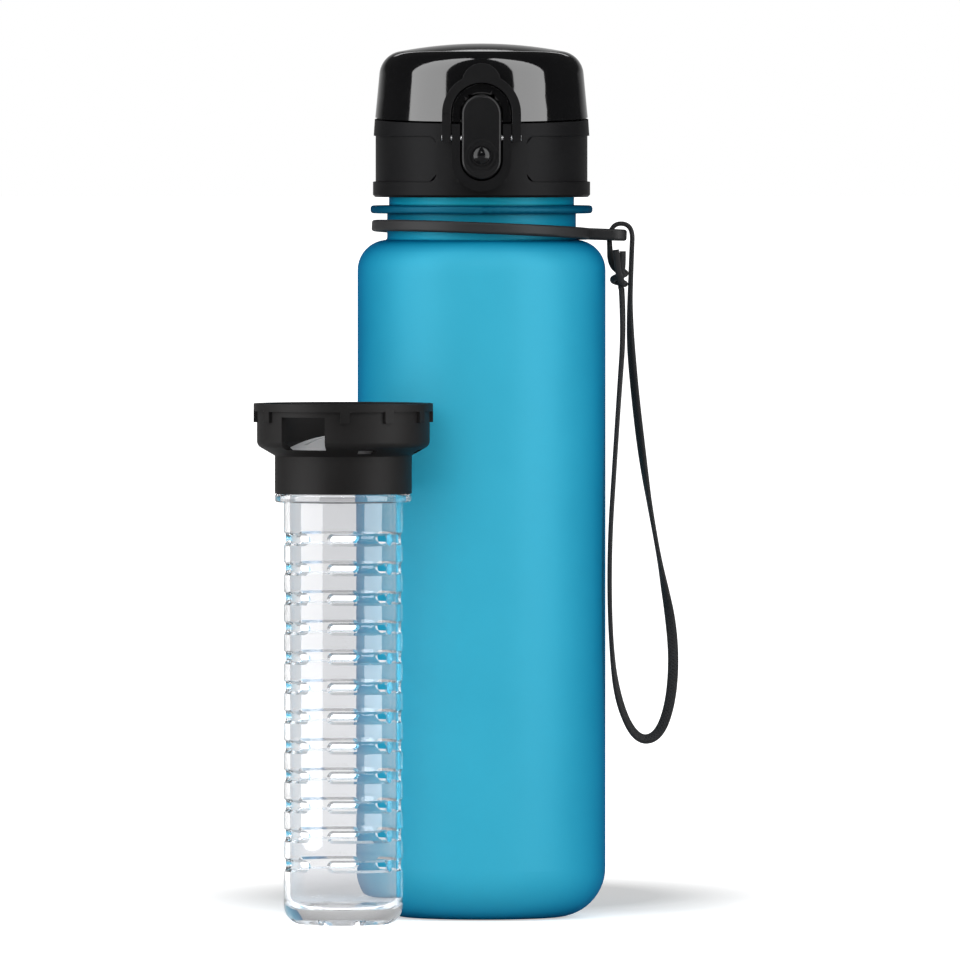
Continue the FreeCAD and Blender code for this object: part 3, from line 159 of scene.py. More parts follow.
# Above the shoulder the painted neck light and shade replaces the body's own colour.
painted_neck_mix = frosted_nodes.new("ShaderNodeMix")
painted_neck_mix.data_type = "RGBA"
frosted_links.new(above_shoulder.outputs["Value"], painted_neck_mix.inputs["Factor"])
frosted_links.new(frosted_nodes["Color Ramp"].outputs["Color"], painted_neck_mix.inputs["A"])
frosted_links.new(painted_neck_ramp.outputs["Color"], painted_neck_mix.inputs["B"])
frosted_links.new(painted_neck_mix.outputs["Result"], frosted.inputs["Base Color"])
finish_with(bottle, frosted_blue)

# Neck thread: a low rib blown with the neck, a little over two turns of it, that the lid runs on.
# It dies away at both ends so that the lid starts easily.
thread_pitch = 0.004
thread_turns = 2.25
neck_radius = 0.0242
neck_crest = 0.02485
neck_thread_low = 0.1908
neck_thread_width = 0.0022
thread_crest_share = 0.4
thread_steps = 200
thread_end_share = 0.6
thread_smoothing = math.radians(50)
hair = 0.00001
upright = 0.9


def pick(piece, kind, test):
    """Opens a piece for editing, with the faces or edges selected whose middle and heading pass."""
    mesh = piece.data
    for group in (mesh.vertices, mesh.edges, mesh.polygons):
        group.foreach_set("select", [False] * len(group))
    if kind == "FACE":
        for face in mesh.polygons:
            face.select = test(face.center, face.normal)
    else:
        for edge in mesh.edges:
            first, last = (mesh.vertices[index].co for index in edge.vertices)
            edge.select = test((first + last) / 2, (last - first).normalized())
    bpy.ops.object.mode_set(mode="EDIT")
    bpy.ops.mesh.select_mode(type=kind)


def pick_all():
    """Opens the piece in hand for editing, with all of it selected."""
    bpy.ops.object.mode_set(mode="EDIT")
    bpy.ops.mesh.select_all(action="SELECT")


def put_down():
    """Ends the editing of a piece."""
    bpy.ops.object.mode_set(mode="OBJECT")


def face_outwards():
    """Turns all faces of the piece in hand outwards."""
    pick_all()
    bpy.ops.mesh.normals_make_consistent(inside=False)
    put_down()


def screw_thread(name, root, crest, low, width):
    """A screw rib round the bottle's axis, from its root to its crest, closed to a point at each end."""
    bpy.ops.object.select_all(action="DESELECT")
    bpy.ops.mesh.primitive_plane_add(
        size=1.0, location=((root + crest) / 2, 0.0, low), rotation=(math.pi / 2, 0.0, 0.0))
    rib = bpy.context.object
    rib.name = name
    rib.scale = (abs(crest - root), width, 1.0)
    bpy.ops.object.transform_apply()
    pick(rib, "EDGE", lambda middle, along: abs(along.z) > upright and abs(middle.x - crest) < hair)
    bpy.ops.transform.resize(value=(1.0, 1.0, thread_crest_share), center_override=(crest, 0.0, low))
    put_down()
    wound = rib.modifiers.new("wound", "SCREW")
    wound.angle = thread_turns * 2 * math.pi
    wound.screw_offset = thread_turns * thread_pitch
    wound.steps = thread_steps
    wound.render_steps = thread_steps
    bpy.ops.object.modifier_apply(modifier="wound")
    top = low + thread_turns * thread_pitch
    for level, heading in ((low, 0.0), (top, thread_turns * 2 * math.pi)):
        end = Vector((math.cos(heading), math.sin(heading), 0.0)) * (root + crest) / 2
        end.z = level
        pick(rib, "EDGE", lambda middle, along: (middle - end).length < width * thread_end_share
             and abs(middle.x * math.sin(heading) - middle.y * math.cos(heading)) < hair)
        bpy.ops.mesh.merge(type="CENTER")
        shrink = root * 2 / (root + crest)
        bpy.ops.transform.resize(value=(shrink, shrink, 1.0), center_override=(0.0, 0.0, level))
        put_down()
    face_outwards()
    bpy.ops.object.shade_smooth_by_angle(angle=thread_smoothing)
    return rib


neck_thread = screw_thread(
    "neck_thread", neck_radius, neck_crest, neck_thread_low, neck_thread_width)
finish_with(neck_thread, frosted_blue)
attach(neck_thread, "bottle")

# Neck gasket: a flat ring cut from milky silicone, lying on the neck's rim under the lid's deck.
# The lid squeezes it when it is screwed down.
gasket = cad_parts["neck_gasket"]
milky_silicone = moulded_plastic(
    "milky_silicone", shade=(0.66, 0.68, 0.69), light=(0.74, 0.76, 0.77),
    rough=(0.42, 0.55), shine=0.4, grain=1800.0, depth=0.00001)
milky_silicone.node_tree.nodes["Principled BSDF"].inputs["Subsurface Weight"].default_value = 0.25
milky_silicone.node_tree.nodes["Principled BSDF"].inputs["Subsurface Scale"].default_value = 0.001
finish_with(gasket, milky_silicone)
ease_edges(gasket, width=0.00025)

# Lid collar: injection-moulded black polypropylene with an eroded matte skin. One moulding has
# the skirt with its grip recesses, the deck, the spout, the button's frame and the hinge ears.
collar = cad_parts["lid_collar"]
matte_black = moulded_plastic(
    "matte_black", shade=(0.0055, 0.0055, 0.006), light=(0.008, 0.008, 0.0085),
    rough=(0.4, 0.5), shine=0.045, grain=3200.0, depth=0.00003)
finish_with(collar, matte_black)
ease_edges(collar, width=0.00025)

# Lid thread: the same low rib on the inside of the collar, moulded with it.
# Its crest stays clear of the neck's crest.
lid_bore = 0.02575
lid_crest = 0.0251
lid_thread_low = 0.192
lid_thread_width = 0.0018
lid_thread = screw_thread("lid_thread", lid_bore, lid_crest, lid_thread_low, lid_thread_width)
finish_with(lid_thread, matte_black)
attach(lid_thread, "lid")

# Hinge and latch metal: drawn steel wire, cut to length for the two pins and wound for the two
# springs. The pins press into the collar, and the springs sit between lid and moving pieces.
drawn_steel = bpy.data.materials.new("drawn_steel")
drawn_steel.use_nodes = True
steel_nodes = drawn_steel.node_tree.nodes
steel_links = drawn_steel.node_tree.links
steel = steel_nodes["Principled BSDF"]
steel.inputs["Metallic"].default_value = 1.0
steel_place = steel_nodes.new("ShaderNodeTexCoord")
steel_stretch = steel_nodes.new("ShaderNodeMapping")
steel_stretch.inputs["Scale"].default_value = (120.0, 5200.0, 5200.0)
steel_links.new(steel_place.outputs["Object"], steel_stretch.inputs["Vector"])
steel_lines = steel_nodes.new("ShaderNodeTexNoise")
steel_lines.inputs["Scale"].default_value = 1.0
steel_lines.inputs["Detail"].default_value = 3.0
steel_links.new(steel_stretch.outputs["Vector"], steel_lines.inputs["Vector"])
steel_shades = steel_nodes.new("ShaderNodeValToRGB")
steel_shades.color_ramp.elements[0].color = (0.5, 0.5, 0.51, 1.0)
steel_shades.color_ramp.elements[1].color = (0.72, 0.72, 0.73, 1.0)
steel_links.new(steel_lines.outputs["Fac"], steel_shades.inputs["Fac"])
steel_links.new(steel_shades.outputs["Color"], steel.inputs["Base Color"])
steel_gloss = steel_nodes.new("ShaderNodeMapRange")
steel_gloss.inputs["To Min"].default_value = 0.3
steel_gloss.inputs["To Max"].default_value = 0.48
steel_links.new(steel_lines.outputs["Fac"], steel_gloss.inputs["Value"])
steel_links.new(steel_gloss.outputs["Result"], steel.inputs["Roughness"])
for name in ("hinge_pin", "latch_pin", "hinge_spring", "button_spring"):
    finish_with(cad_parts[name], drawn_steel)
ease_edges(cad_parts["hinge_pin"], width=0.0002)
ease_edges(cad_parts["latch_pin"], width=0.00015)

# Flip cover: a polished black dome moulded in one shot, with the arch round the button's top and
# two knuckles on the hinge pin. Liner and seal clip inside it.
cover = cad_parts["flip_cover"]
gloss_black = moulded_plastic(
    "gloss_black", shade=(0.004, 0.004, 0.0045), light=(0.006, 0.006, 0.0065),
    rough=(0.05, 0.09), shine=0.5, grain=160.0, depth=0.000002)
finish_with(cover, gloss_black)
ease_edges(cover, width=0.0006)
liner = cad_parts["cover_liner"]
finish_with(liner, matte_black)
ease_edges(liner, width=0.0003)
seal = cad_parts["spout_seal"]
finish_with(seal, milky_silicone)
ease_edges(seal, width=0.0003)

# Release button: a satin black rocker on the latch pin, with a domed thumb spot inside two
# raised rings.
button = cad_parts["release_button"]
satin_black = moulded_plastic(
    "satin_black", shade=(0.003, 0.003, 0.0035), light=(0.0045, 0.0045, 0.005),
    rough=(0.28, 0.36), shine=0.18, grain=2600.0, depth=0.00001)
thumb_height = 0.19965
thumb_reach = 0.0024
thumb_edge = 0.0002
polished_share = 0.5
satin_nodes = satin_black.node_tree.nodes
satin_links = satin_black.node_tree.links
thumb_offset = satin_nodes.new("ShaderNodeVectorMath")
thumb_offset.operation = "MULTIPLY_ADD"
thumb_offset.inputs[1].default_value = (1.0, 0.0, 1.0)
thumb_offset.inputs[2].default_value = (0.0, 0.0, -thumb_height)
satin_links.new(satin_nodes["Texture Coordinate"].outputs["Object"], thumb_offset.inputs[0])
thumb_distance = satin_nodes.new("ShaderNodeVectorMath")
thumb_distance.operation = "LENGTH"
satin_links.new(thumb_offset.outputs["Vector"], thumb_distance.inputs[0])
polished = satin_nodes.new("ShaderNodeMapRange")
polished.inputs["From Min"].default_value = thumb_reach
polished.inputs["From Max"].default_value = thumb_reach + thumb_edge
polished.inputs["To Min"].default_value = polished_share
polished.inputs["To Max"].default_value = 1.0
satin_links.new(thumb_distance.outputs["Value"], polished.inputs["Value"])
worn_smooth = satin_nodes.new("ShaderNodeMath")
worn_smooth.operation = "MULTIPLY"
satin_links.new(satin_nodes["Map Range"].outputs["Result"], worn_smooth.inputs[0])
satin_links.new(polished.outputs["Result"], worn_smooth.inputs[1])
satin_links.new(worn_smooth.outputs["Value"], satin_nodes["Principled BSDF"].inputs["Roughness"])
finish_with(button, satin_black)
ease_edges(button, width=0.00008)

# Thumb bead: the polished bead in the middle of the button's thumb spot. It is moulded with the
# button, and the thumb finds it without looking.
bead_radius = 0.002
bead_height = 0.00075
bead_front = -0.03245
bead_ball = (bead_radius ** 2 + bead_height ** 2) / (2 * bead_height)
bpy.ops.object.select_all(action="DESELECT")
bpy.ops.mesh.primitive_uv_sphere_add(
    segments=48, ring_count=32, radius=bead_ball,
    location=(0.0, bead_front - bead_height + bead_ball, thumb_height), rotation=(math.pi / 2, 0.0, 0.0))
bead = bpy.context.object
bead.name = "thumb_bead"
bpy.ops.object.transform_apply()
pick_all()
bpy.ops.mesh.bisect(
    plane_co=(0.0, bead_front, 0.0), plane_no=(0.0, 1.0, 0.0), clear_outer=True, use_fill=True)
put_down()
bpy.ops.object.shade_smooth_by_angle(angle=sharp_angle)
finish_with(bead, satin_black)
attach(bead, "button")

# Lock loop: a flat black bail on the same pin that swings over the cover's front and keeps it
# shut, with a round tab for the thumb.
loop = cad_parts["lock_loop"]
finish_with(loop, satin_black)
ease_edges(loop, width=0.0003)

# Carry ring: a soft black band that turns freely round the neck under the flange. Its tab has a
# hole for the lanyard.
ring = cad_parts["carry_ring"]
soft_black = moulded_plastic(
    "soft_black", shade=(0.013, 0.013, 0.0135), light=(0.02, 0.02, 0.021),
    rough=(0.45, 0.55), shine=0.15, grain=2200.0, depth=0.00002)
finish_with(ring, soft_black)

# Lanyard: a flat woven cord, doubled through the ring's hole, hanging in one long loop. It turns
# from edge-on at the top to flat at the bottom of the loop, and its ends are tied in a knot.
cord_width = 0.0028
cord_thickness = 0.0012
line_steps = 14
strip_sides = 12
edge_roundness = 0.55
face_roundness = 0.8


def woven_strip(name, route, width, thickness, turns):
    """A flat strip along a smooth line, and the line; turns are shares of its length and degrees."""
    line = bpy.data.curves.new(f"{name}_line", "CURVE")
    line.dimensions = "3D"
    line.resolution_u = line_steps
    spline = line.splines.new("NURBS")
    spline.points.add(len(route) - 1)
    for point, place in zip(spline.points, route):
        point.co = (*place, 1.0)
    spline.order_u = 3
    spline.use_endpoint_u = True
    guide = bpy.data.objects.new(f"{name}_line", line)
    bpy.context.scene.collection.objects.link(guide)
    bpy.context.view_layer.update()
    wire = bpy.data.meshes.new_from_object(guide)
    path = [vertex.co.copy() for vertex in wire.vertices]
    bpy.data.objects.remove(guide)
    bpy.data.meshes.remove(wire)
    walked = [0.0]
    for here, there in zip(path, path[1:]):
        walked.append(walked[-1] + (there - here).length)
    section = []
    for side_count in range(strip_sides):
        angle = (side_count + 0.5) * 2 * math.pi / strip_sides
        across = math.copysign(abs(math.cos(angle)) ** edge_roundness, math.cos(angle))
        through = math.copysign(abs(math.sin(angle)) ** face_roundness, math.sin(angle))
        section.append((across * width / 2, through * thickness / 2))
    points = []
    for index, here in enumerate(path):
        ahead = path[min(index + 1, len(path) - 1)] - path[max(index - 1, 0)]
        ahead.normalize()
        side = Vector((0.0, 1.0, 0.0)).cross(ahead).normalized()
        depth = ahead.cross(side)
        share = walked[index] / walked[-1]
        for (low, first), (high, last) in zip(turns, turns[1:]):
            if low <= share <= high:
                ease = (share - low) / (high - low)
                turn = math.radians(first + (last - first) * ease * ease * (3 - 2 * ease))
        flat = side * math.cos(turn) + depth * math.sin(turn)
        thin = ahead.cross(flat)
        points.extend(here + flat * wide + thin * deep for wide, deep in section)
    faces = []
    for ring_start in range(0, len(points) - strip_sides, strip_sides):
        for corner in range(strip_sides):
            following = (corner + 1) % strip_sides
            faces.append((ring_start + corner, ring_start + following,
                          ring_start + strip_sides + following, ring_start + strip_sides + corner))
    faces.append(tuple(reversed(range(strip_sides))))
    faces.append(tuple(range(len(points) - strip_sides, len(points))))
    mesh = bpy.data.meshes.new(name)
    mesh.from_pydata(points, [], faces)
    weave = mesh.uv_layers.new(name="weave")
    for face in mesh.polygons:
        face.use_smooth = True
        for loop_index, vertex in zip(face.loop_indices, face.vertices):
            corner = vertex % strip_sides
            if corner == 0 and any(other % strip_sides == strip_sides - 1 for other in face.vertices):
                corner = strip_sides
            weave.data[loop_index].uv = (corner / strip_sides, walked[vertex // strip_sides] / width)
    strip = bpy.data.objects.new(name, mesh)
    bpy.context.scene.collection.objects.link(strip)
    return strip, path


lanyard_route = [
    (0.03353, -0.00003, 0.17751), (0.03369, 0.00007, 0.18181), (0.03969, 0.00007, 0.18158),
    (0.03929, -0.0003, 0.1732), (0.03869, -0.0006, 0.1552), (0.04019, -0.0012, 0.1367),
    (0.04289, -0.0018, 0.1147), (0.04659, -0.0024, 0.0937), (0.05039, -0.003, 0.0737),
    (0.04999, -0.0036, 0.0577), (0.04649, -0.0042, 0.0471), (0.04029, -0.005, 0.0464),
    (0.03529, -0.0062, 0.0578), (0.03359, -0.0074, 0.0757), (0.03349, -0.0074, 0.0977),
    (0.03479, -0.0056, 0.1181), (0.03609, -0.0032, 0.1377), (0.03729, -0.0014, 0.1542),
    (0.03669, -0.0004, 0.1648),
]
lanyard_turns = [(0.0, 88), (0.08, 82), (0.17, 48), (0.23, 48), (0.34, 88), (0.45, 6), (0.52, 18),
                 (0.58, 58), (0.66, 86), (0.85, 84), (1.0, 72)]
lanyard, lanyard_path = woven_strip(
    "lanyard", lanyard_route, cord_width, cord_thickness, lanyard_turns)
woven_black = bpy.data.materials.new("woven_black")
woven_black.use_nodes = True
weave_nodes = woven_black.node_tree.nodes
weave_links = woven_black.node_tree.links
weave_shader = weave_nodes["Principled BSDF"]
weave_shader.inputs["Roughness"].default_value = 0.6
weave_shader.inputs["Specular IOR Level"].default_value = 0.15
weave_shader.inputs["Sheen Weight"].default_value = 0.12
weave_shader.inputs["Sheen Roughness"].default_value = 0.4
weave_map = weave_nodes.new("ShaderNodeUVMap")
weave_map.uv_map = "weave"
braid_lean = 38
braids = []
for lean in (braid_lean, -braid_lean):
    lay = weave_nodes.new("ShaderNodeMapping")
    lay.inputs["Rotation"].default_value = (0.0, 0.0, math.radians(lean))
    lay.inputs["Scale"].default_value = (9.0, 3.4, 1.0)
    weave_links.new(weave_map.outputs["UV"], lay.inputs["Vector"])
    strands = weave_nodes.new("ShaderNodeTexWave")
    strands.inputs["Scale"].default_value = 0.5
    strands.inputs["Distortion"].default_value = 0.6
    weave_links.new(lay.outputs["Vector"], strands.inputs["Vector"])
    braids.append(strands)
crossing = weave_nodes.new("ShaderNodeMath")
crossing.operation = "MAXIMUM"
weave_links.new(braids[0].outputs["Fac"], crossing.inputs[0])
weave_links.new(braids[1].outputs["Fac"], crossing.inputs[1])
weave_shades = weave_nodes.new("ShaderNodeValToRGB")
weave_shades.color_ramp.elements[0].color = (0.004, 0.004, 0.0045, 1.0)
weave_shades.color_ramp.elements[1].color = (0.018, 0.018, 0.0195, 1.0)
weave_links.new(crossing.outputs["Value"], weave_shades.inputs["Fac"])
weave_links.new(weave_shades.outputs["Color"], weave_shader.inputs["Base Color"])
weave_bump = weave_nodes.new("ShaderNodeBump")
weave_bump.inputs["Strength"].default_value = 0.9
weave_bump.inputs["Distance"].default_value = 0.00012
weave_links.new(crossing.outputs["Value"], weave_bump.inputs["Height"])
weave_links.new(weave_bump.outputs["Normal"], weave_shader.inputs["Normal"])
finish_with(lanyard, woven_black)

# Lanyard knot: both ends of the cord wrapped twice round each other and pulled tight under the
# ring's tab, with two short ends left standing beside the strand that comes from the hole.
tie_width = 0.0017
tie_thickness = 0.0013
tie_route = [
    (0.03352, -0.00003, 0.17741), (0.0336, 0.0001, 0.1752), (0.03385, 0.0002, 0.1718),
    (0.0351, 0.0011, 0.1696), (0.0372, 0.0012, 0.1691), (0.0379, -0.0007, 0.1686),
    (0.0362, -0.0021, 0.168), (0.0344, -0.0012, 0.1673), (0.0346, 0.001, 0.1666),
    (0.0368, 0.0014, 0.1661), (0.0378, -0.0002, 0.1658), (0.0366, -0.0018, 0.1664),
    (0.0357, -0.0026, 0.1694), (0.0355, -0.0026, 0.1724), (0.0352, -0.0026, 0.1749),
]
tie_turns = [(0.0, 80), (0.25, 20), (1.0, 0)]
tie = woven_strip("lanyard_tie", tie_route, tie_width, tie_thickness, tie_turns)[0]
tail_route = [
    (0.0366, -0.0003, 0.1646), (0.0364, -0.0006, 0.167), (0.0368, -0.0018, 0.1694),
    (0.037, -0.0022, 0.1722), (0.03699, -0.0023, 0.1745),
]
tail_turns = [(0.0, 60), (0.5, 10), (1.0, 0)]
tail = woven_strip("lanyard_tail", tail_route, tie_width, tie_thickness, tail_turns)[0]
work_on(tie)
tail.select_set(True)
bpy.ops.object.join()
tie.name = "lanyard_knot_tied"
finish_with(tie, woven_black)
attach(tie, "strap")
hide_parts("lanyard_knot")
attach(lanyard, "strap")
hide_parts("lanyard_cord")

# Infuser tube: clear polished copolyester, moulded with rows of cross slots in four columns, a
# foot ring with drain notches and a flange that the head screws down to.
tube_low, tube_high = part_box("infuser_tube")
tube_height = tube_high[2] - tube_low[2]
tube_radius = 0.0155
tube_bore = 0.0139
tube_corner = 0.005
tube_floor = 0.0042
bore_edge = 0.01376
tube_facets = 144
foot_depth = 0.0022
foot_width = 0.0012
foot_lean = 0.0004
flange_low = 0.1097
flange_high = 0.1119
flange_reach = 0.00225
flange_edge = 0.0175
flange_round = 0.0006
slot_rows = 12
slot_columns = 4
slot_low = 0.0155
slot_top = 0.1002
slot_pitch = (slot_top - slot_low) / (slot_rows - 1)
slot_angle = math.radians(59)
slot_turn = math.radians(20)
slot_half = 0.001
slot_flare = 0.00065
cut_past = 0.001
bpy.ops.object.select_all(action="DESELECT")
bpy.ops.mesh.primitive_cylinder_add(
    vertices=tube_facets, radius=tube_radius, depth=tube_height, location=(0.0, 0.0, tube_height / 2))
tube = bpy.context.object
tube.name = "clear_tube"
bpy.ops.object.transform_apply()
pick(tube, "FACE", lambda middle, normal: normal.z > upright)
bpy.ops.mesh.inset(thickness=tube_radius - tube_bore)
bpy.ops.mesh.extrude_region_move(TRANSFORM_OT_translate={"value": (0.0, 0.0, tube_floor - tube_height)})
put_down()
pick(tube, "EDGE", lambda middle, along: middle.z < hair)
bpy.ops.mesh.bevel(offset=tube_corner, segments=12, affect="EDGES")
put_down()
pick(tube, "EDGE", lambda middle, along: abs(middle.z - tube_floor) < hair
     and bore_edge < middle.xy.length < tube_radius)
bpy.ops.mesh.bevel(offset=tube_corner - tube_radius + tube_bore, segments=10, affect="EDGES")
put_down()
pick(tube, "FACE", lambda middle, normal: middle.z < hair and normal.z < -upright)
bpy.ops.mesh.inset(thickness=foot_width)
bpy.ops.mesh.extrude_region_move(TRANSFORM_OT_translate={"value": (0.0, 0.0, foot_depth)})
foot_draw = 1.0 - foot_lean / (tube_radius - tube_corner - foot_width)
bpy.ops.transform.resize(value=(foot_draw, foot_draw, 1.0), center_override=(0.0, 0.0, foot_depth))
put_down()
wall_levels = [slot_low + slot_pitch * (row - 0.5) for row in range(slot_rows + 1)]
for level in wall_levels + [flange_low, flange_high]:
    pick_all()
    bpy.ops.mesh.bisect(plane_co=(0.0, 0.0, level), plane_no=(0.0, 0.0, 1.0))
    put_down()
pick(tube, "FACE", lambda middle, normal: flange_low < middle.z < flange_high
     and middle.xy.length > (tube_radius + tube_bore) / 2)
bpy.ops.mesh.extrude_region_shrink_fatten(TRANSFORM_OT_shrink_fatten={"value": flange_reach})
put_down()
pick(tube, "EDGE", lambda middle, along: middle.xy.length > flange_edge and abs(along.z) < upright)
bpy.ops.mesh.bevel(offset=flange_round, segments=4, affect="EDGES")
put_down()


def copied(piece, lift, turn):
    """A copy with a mesh of its own, lifted and turned about the tube's middle."""
    copy = piece.copy()
    copy.data = piece.data.copy()
    bpy.context.scene.collection.objects.link(copy)
    copy.location.z = lift
    copy.rotation_euler.z = turn
    return copy


def cut_from(piece, cutters):
    """Cuts a group of closed shapes out of a piece."""
    work_on(cutters[0])
    for cutter in cutters:
        cutter.select_set(True)
    bpy.ops.object.join()
    bpy.ops.object.transform_apply()
    work_on(piece)
    cut = piece.modifiers.new("cut", "BOOLEAN")
    cut.object = cutters[0]
    cut.solver = "EXACT"
    bpy.ops.object.modifier_apply(modifier="cut")
    bpy.data.objects.remove(cutters[0])


slot_slope = slot_flare / (tube_radius - tube_bore)
bpy.ops.object.select_all(action="DESELECT")
bpy.ops.mesh.primitive_cone_add(
    vertices=32, radius1=slot_half - slot_slope * cut_past,
    radius2=slot_half + slot_flare + slot_slope * cut_past,
    depth=tube_radius - tube_bore + cut_past * 2,
    location=((tube_bore + tube_radius) / 2, 0.0, 0.0), rotation=(0.0, math.pi / 2, 0.0))
slot = bpy.context.object
bpy.ops.object.transform_apply()
pick_all()
bpy.ops.mesh.bisect(plane_co=(0.0, 0.0, 0.0), plane_no=(0.0, 1.0, 0.0), clear_inner=True)
bpy.ops.mesh.select_all(action="SELECT")
bpy.ops.transform.rotate(value=-slot_angle / 2, orient_axis="Z", center_override=(0.0, 0.0, 0.0))
bpy.ops.mesh.select_mode(type="EDGE")
bpy.ops.mesh.select_all(action="DESELECT")
bpy.ops.mesh.select_non_manifold()
bpy.ops.mesh.spin(steps=10, angle=slot_angle / 2, center=(0.0, 0.0, 0.0), axis=(0.0, 0.0, 1.0))
put_down()
other_half = slot.modifiers.new("other_half", "MIRROR")
other_half.use_axis = (False, True, False)
other_half.merge_threshold = hair
bpy.ops.object.modifier_apply(modifier="other_half")
face_outwards()
slots = []
for row in range(slot_rows):
    for column in range(slot_columns):
        turn = slot_turn + column * 2 * math.pi / slot_columns
        slots.append(copied(slot, slot_low + slot_pitch * row, turn))
bpy.data.objects.remove(slot)
cut_from(tube, slots)
drain_width = 0.0024
drain_inside = 0.008
drain_height = 0.00308
drain_count = 8
bpy.ops.object.select_all(action="DESELECT")
bpy.ops.mesh.primitive_cube_add(size=1.0, location=((drain_inside + tube_radius) / 2, 0.0, 0.0))
drain = bpy.context.object
drain.scale = (tube_radius - drain_inside, drain_width, drain_height)
bpy.ops.object.transform_apply()
drains = []
for step in range(drain_count):
    drains.append(copied(drain, 0.0, slot_turn + step * 2 * math.pi / drain_count))
bpy.data.objects.remove(drain)
cut_from(tube, drains)
tube.location = ((tube_low[0] + tube_high[0]) / 2, (tube_low[1] + tube_high[1]) / 2, tube_low[2])
bpy.ops.object.transform_apply()
bpy.ops.object.shade_smooth_by_angle(angle=sharp_angle)
clear_plastic = moulded_plastic(
    "clear_plastic", shade=(0.91, 0.915, 0.93), light=(0.93, 0.935, 0.95),
    rough=(0.005, 0.02), shine=0.5, grain=60.0, depth=0.0000002)
clear = clear_plastic.node_tree.nodes["Principled BSDF"]
clear.inputs["Transmission Weight"].default_value = 0.97
clear.inputs["IOR"].default_value = 1.18
clear.inputs["Coat Weight"].default_value = 1.0
clear.inputs["Coat IOR"].default_value = 1.42
clear.inputs["Coat Roughness"].default_value = 0.02
finish_with(tube, clear_plastic)
tube.visible_shadow = False
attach(tube, "infuser")
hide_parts("infuser_tube")

# Strainer disc: a pale grey dome with long slots, dropped on the ledge inside the head so that
# fruit and ice stay in the tube.
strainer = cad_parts["strainer_disc"]
pale_grey = moulded_plastic(
    "pale_grey", shade=(0.42, 0.42, 0.43), light=(0.5, 0.5, 0.51),
    rough=(0.38, 0.5), shine=0.3, grain=2400.0, depth=0.00002)
finish_with(strainer, pale_grey)
ease_edges(strainer, width=0.0002)

# Infuser head: a matte black cup that screws over the tube, with pouring windows, drains in its
# cone and a flange with tabs that rests on the bottle's neck.
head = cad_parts["infuser_head"]
head_black = moulded_plastic(
    "head_black", shade=(0.0065, 0.006, 0.006), light=(0.01, 0.0095, 0.0095),
    rough=(0.46, 0.58), shine=0.1, grain=3000.0, depth=0.00003)
finish_with(head, head_black)
ease_edges(head, width=0.00025)

# Floor: a wide white sweep of matte board. Close beside and behind the object it shows only what the
# lamps give it, so that their soft shadow stays there. Across an ellipse behind the object its own glow
# rises from none to full, a painted shadow edge, and further off it shows plain white.
sweep_width = 60.0
sweep_drop = 0.0002
shadow_reach = 0.047
sweep_reach = 0.112
shadow_white = 0.0
shadow_middle = 0.13
shadow_depth = 0.58
seen_through_clear = 0.34
half_bounce = 0.5
bpy.ops.object.select_all(action="DESELECT")
bpy.ops.mesh.primitive_plane_add(size=sweep_width, location=(0.0, 0.0, -sweep_drop))
floor = bpy.context.object
floor.name = "floor"
white_sweep = bpy.data.materials.new("white_sweep")
white_sweep.use_nodes = True
sweep_nodes = white_sweep.node_tree.nodes
sweep_links = white_sweep.node_tree.links
sweep = sweep_nodes["Principled BSDF"]
sweep.inputs["Base Color"].default_value = (0.82, 0.82, 0.82, 1.0)
sweep.inputs["Roughness"].default_value = 0.9
sweep.inputs["Specular IOR Level"].default_value = 0.0
sweep_place = sweep_nodes.new("ShaderNodeTexCoord")
sweep_offset = sweep_nodes.new("ShaderNodeVectorMath")
sweep_offset.operation = "MULTIPLY_ADD"
sweep_offset.inputs[1].default_value = (1.0, shadow_depth, 1.0)
sweep_offset.inputs[2].default_value = (0.0, -shadow_middle * shadow_depth, 0.0)
sweep_links.new(sweep_place.outputs["Object"], sweep_offset.inputs[0])
sweep_distance = sweep_nodes.new("ShaderNodeVectorMath")
sweep_distance.operation = "LENGTH"
sweep_links.new(sweep_offset.outputs["Vector"], sweep_distance.inputs[0])
# The floor's glow paints the shadow's soft edge: none inside the ellipse, rising to full white outside it.
glow_with_painted_shadow_edge = sweep_nodes.new("ShaderNodeMapRange")
glow_with_painted_shadow_edge.inputs["From Min"].default_value = shadow_reach
glow_with_painted_shadow_edge.inputs["From Max"].default_value = sweep_reach
glow_with_painted_shadow_edge.inputs["To Min"].default_value = shadow_white
glow_with_painted_shadow_edge.inputs["To Max"].default_value = 1.0
sweep_links.new(sweep_distance.outputs["Value"], glow_with_painted_shadow_edge.inputs["Value"])
sweep_ray = sweep_nodes.new("ShaderNodeLightPath")


def light_math(tree, operation, first, second):
    """Joins two values of a stage's light, the second a value or a number."""
    node = tree.nodes.new("ShaderNodeMath")
    node.operation = operation
    tree.links.new(first, node.inputs[0])
    if isinstance(second, float):
        node.inputs[1].default_value = second
    else:
        tree.links.new(second, node.inputs[1])
    return node.outputs["Value"]


def seen_directly(tree, ray):
    """One for what the camera sees, less through clear plastic, and nothing for the rest."""
    clear = light_math(tree, "MULTIPLY", ray.outputs["Is Transmission Ray"], seen_through_clear)
    through = light_math(tree, "MAXIMUM", ray.outputs["Is Camera Ray"], clear)
    unscattered = light_math(tree, "LESS_THAN", ray.outputs["Diffuse Depth"], half_bounce)
    return light_math(tree, "MULTIPLY", through, unscattered)


sweep_seen = light_math(white_sweep.node_tree, "MULTIPLY", glow_with_painted_shadow_edge.outputs["Result"],
                        seen_directly(white_sweep.node_tree, sweep_ray))
sweep.inputs["Emission Color"].default_value = (1.0, 1.0, 1.0, 1.0)
sweep_links.new(sweep_seen, sweep.inputs["Emission Strength"])
finish_with(floor, white_sweep)

